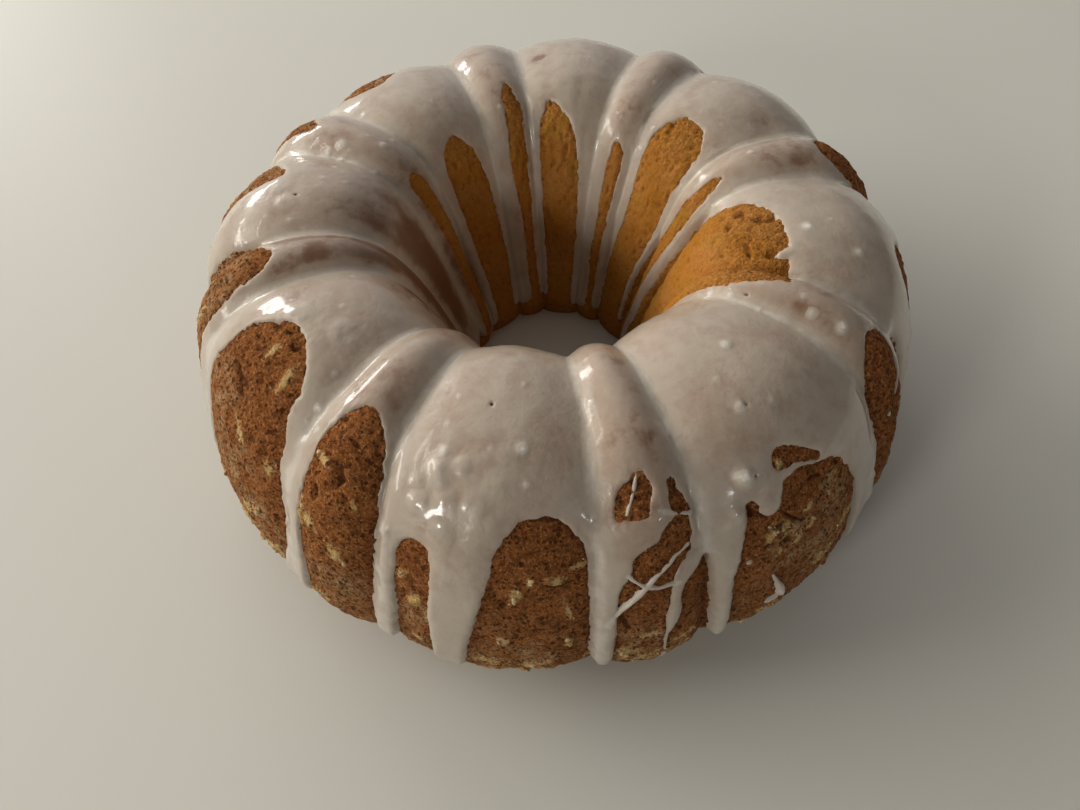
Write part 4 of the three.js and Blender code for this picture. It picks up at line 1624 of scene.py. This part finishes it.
def lay_floor():
    """A plain floor for the cake to stand on, which isn't part of it."""
    half = FLOOR_SIZE / 2
    corners = [(-half, -half, 0), (half, -half, 0), (half, half, 0), (-half, half, 0)]
    mesh = bpy.data.meshes.new("floor")
    mesh.from_pydata(corners, [], [(0, 1, 2, 3)])
    mesh.materials.append(new_finish("pale floor", {"Base Color": FLOOR_COLOUR, "Roughness": 0.5})[0])
    plane = bpy.data.objects.new("floor", mesh)
    bpy.context.scene.collection.objects.link(plane)


def hang_light(name, towards, distance, width, height, power, colour, mirrored=True):
    """An area light in this direction from the cake, facing it, and whether the glaze mirrors it."""
    light = bpy.data.lights.new(name, "AREA")
    light.shape = "RECTANGLE"
    light.size = width
    light.size_y = height
    light.energy = power
    light.color = colour
    lamp = bpy.data.objects.new(name, light)
    lamp.visible_glossy = mirrored
    way = Vector(towards).normalized()
    lamp.location = way * distance + LIGHTS_AIM
    lamp.rotation_euler = way.to_track_quat("Z", "Y").to_euler()
    bpy.context.scene.collection.objects.link(lamp)


lay_floor()
WARM_LIGHT = (1.0, 0.95, 0.87)
PALE_LIGHT = (1.0, 0.97, 0.93)
DAYLIGHT = (1.0, 0.97, 0.92)
# Direction, distance, width and height in metres, power in watts, and colour.
hang_light("window", (-0.84, 0.22, 0.42), 3.2, 2.7, 1.2, 58, WARM_LIGHT, mirrored=False)
hang_light("window haze", (-0.84, 0.24, 0.46), 3.2, 2.6, 1.1, 6, WARM_LIGHT)
hang_light("back wall", (-0.40, 0.84, 0.42), 2.6, 1.6, 0.8, 14, PALE_LIGHT, mirrored=False)
hang_light("window pane", (-0.84, 0.16, 0.34), 3.2, 2.2, 0.30, 15, WARM_LIGHT)
hang_light("window top", (-0.76, 0.20, 0.66), 3.0, 1.4, 0.07, 2.6, WARM_LIGHT)
hang_light("far window", (-0.62, 0.72, 0.28), 2.6, 0.7, 0.4, 9, DAYLIGHT)
hang_light("near window", (-0.64, -0.58, 0.36), 2.4, 0.45, 0.4, 12, DAYLIGHT)
hang_light("front lamp", (0.50, -0.76, 0.38), 1.8, 0.14, 0.14, 0.8, (1.0, 0.98, 0.95))
hang_light("doorway", (0.90, -0.30, 0.22), 2.4, 1.4, 0.6, 3.2, (1.0, 0.95, 0.90), mirrored=False)
print(len(bpy.data.lights), "lights")


def glowing_room():
    """A world that is brightest at the back of the ceiling and fades smoothly all round."""
    world = bpy.data.worlds.new("room glow")
    world.use_nodes = True
    tree = world.node_tree
    direction = add(tree, "ShaderNodeTexCoord").outputs["Object"]
    towards = Vector(GLOW_TOWARDS).normalized()
    facing = add(tree, "ShaderNodeVectorMath", {0: direction, 1: towards}, operation="DOT_PRODUCT")
    glow = calc(tree, "POWER", calc(tree, "MAXIMUM", facing.outputs["Value"], 0), GLOW_FOCUS)
    background = tree.nodes["Background"].inputs
    background["Color"].default_value = GLOW_COLOUR
    join(tree, calc(tree, "MULTIPLY_ADD", glow, GLOW_STRENGTH, ROOM_STRENGTH), background["Strength"])
    return world


GLOW_TOWARDS = (-0.22, 0.83, 0.50)
GLOW_FOCUS = 3.0
GLOW_STRENGTH = 0.66
GLOW_COLOUR = (1.0, 0.965, 0.93, 1)
ROOM_STRENGTH = 0.085
bpy.context.scene.world = glowing_room()
bpy.context.scene.view_settings.view_transform = "Standard"
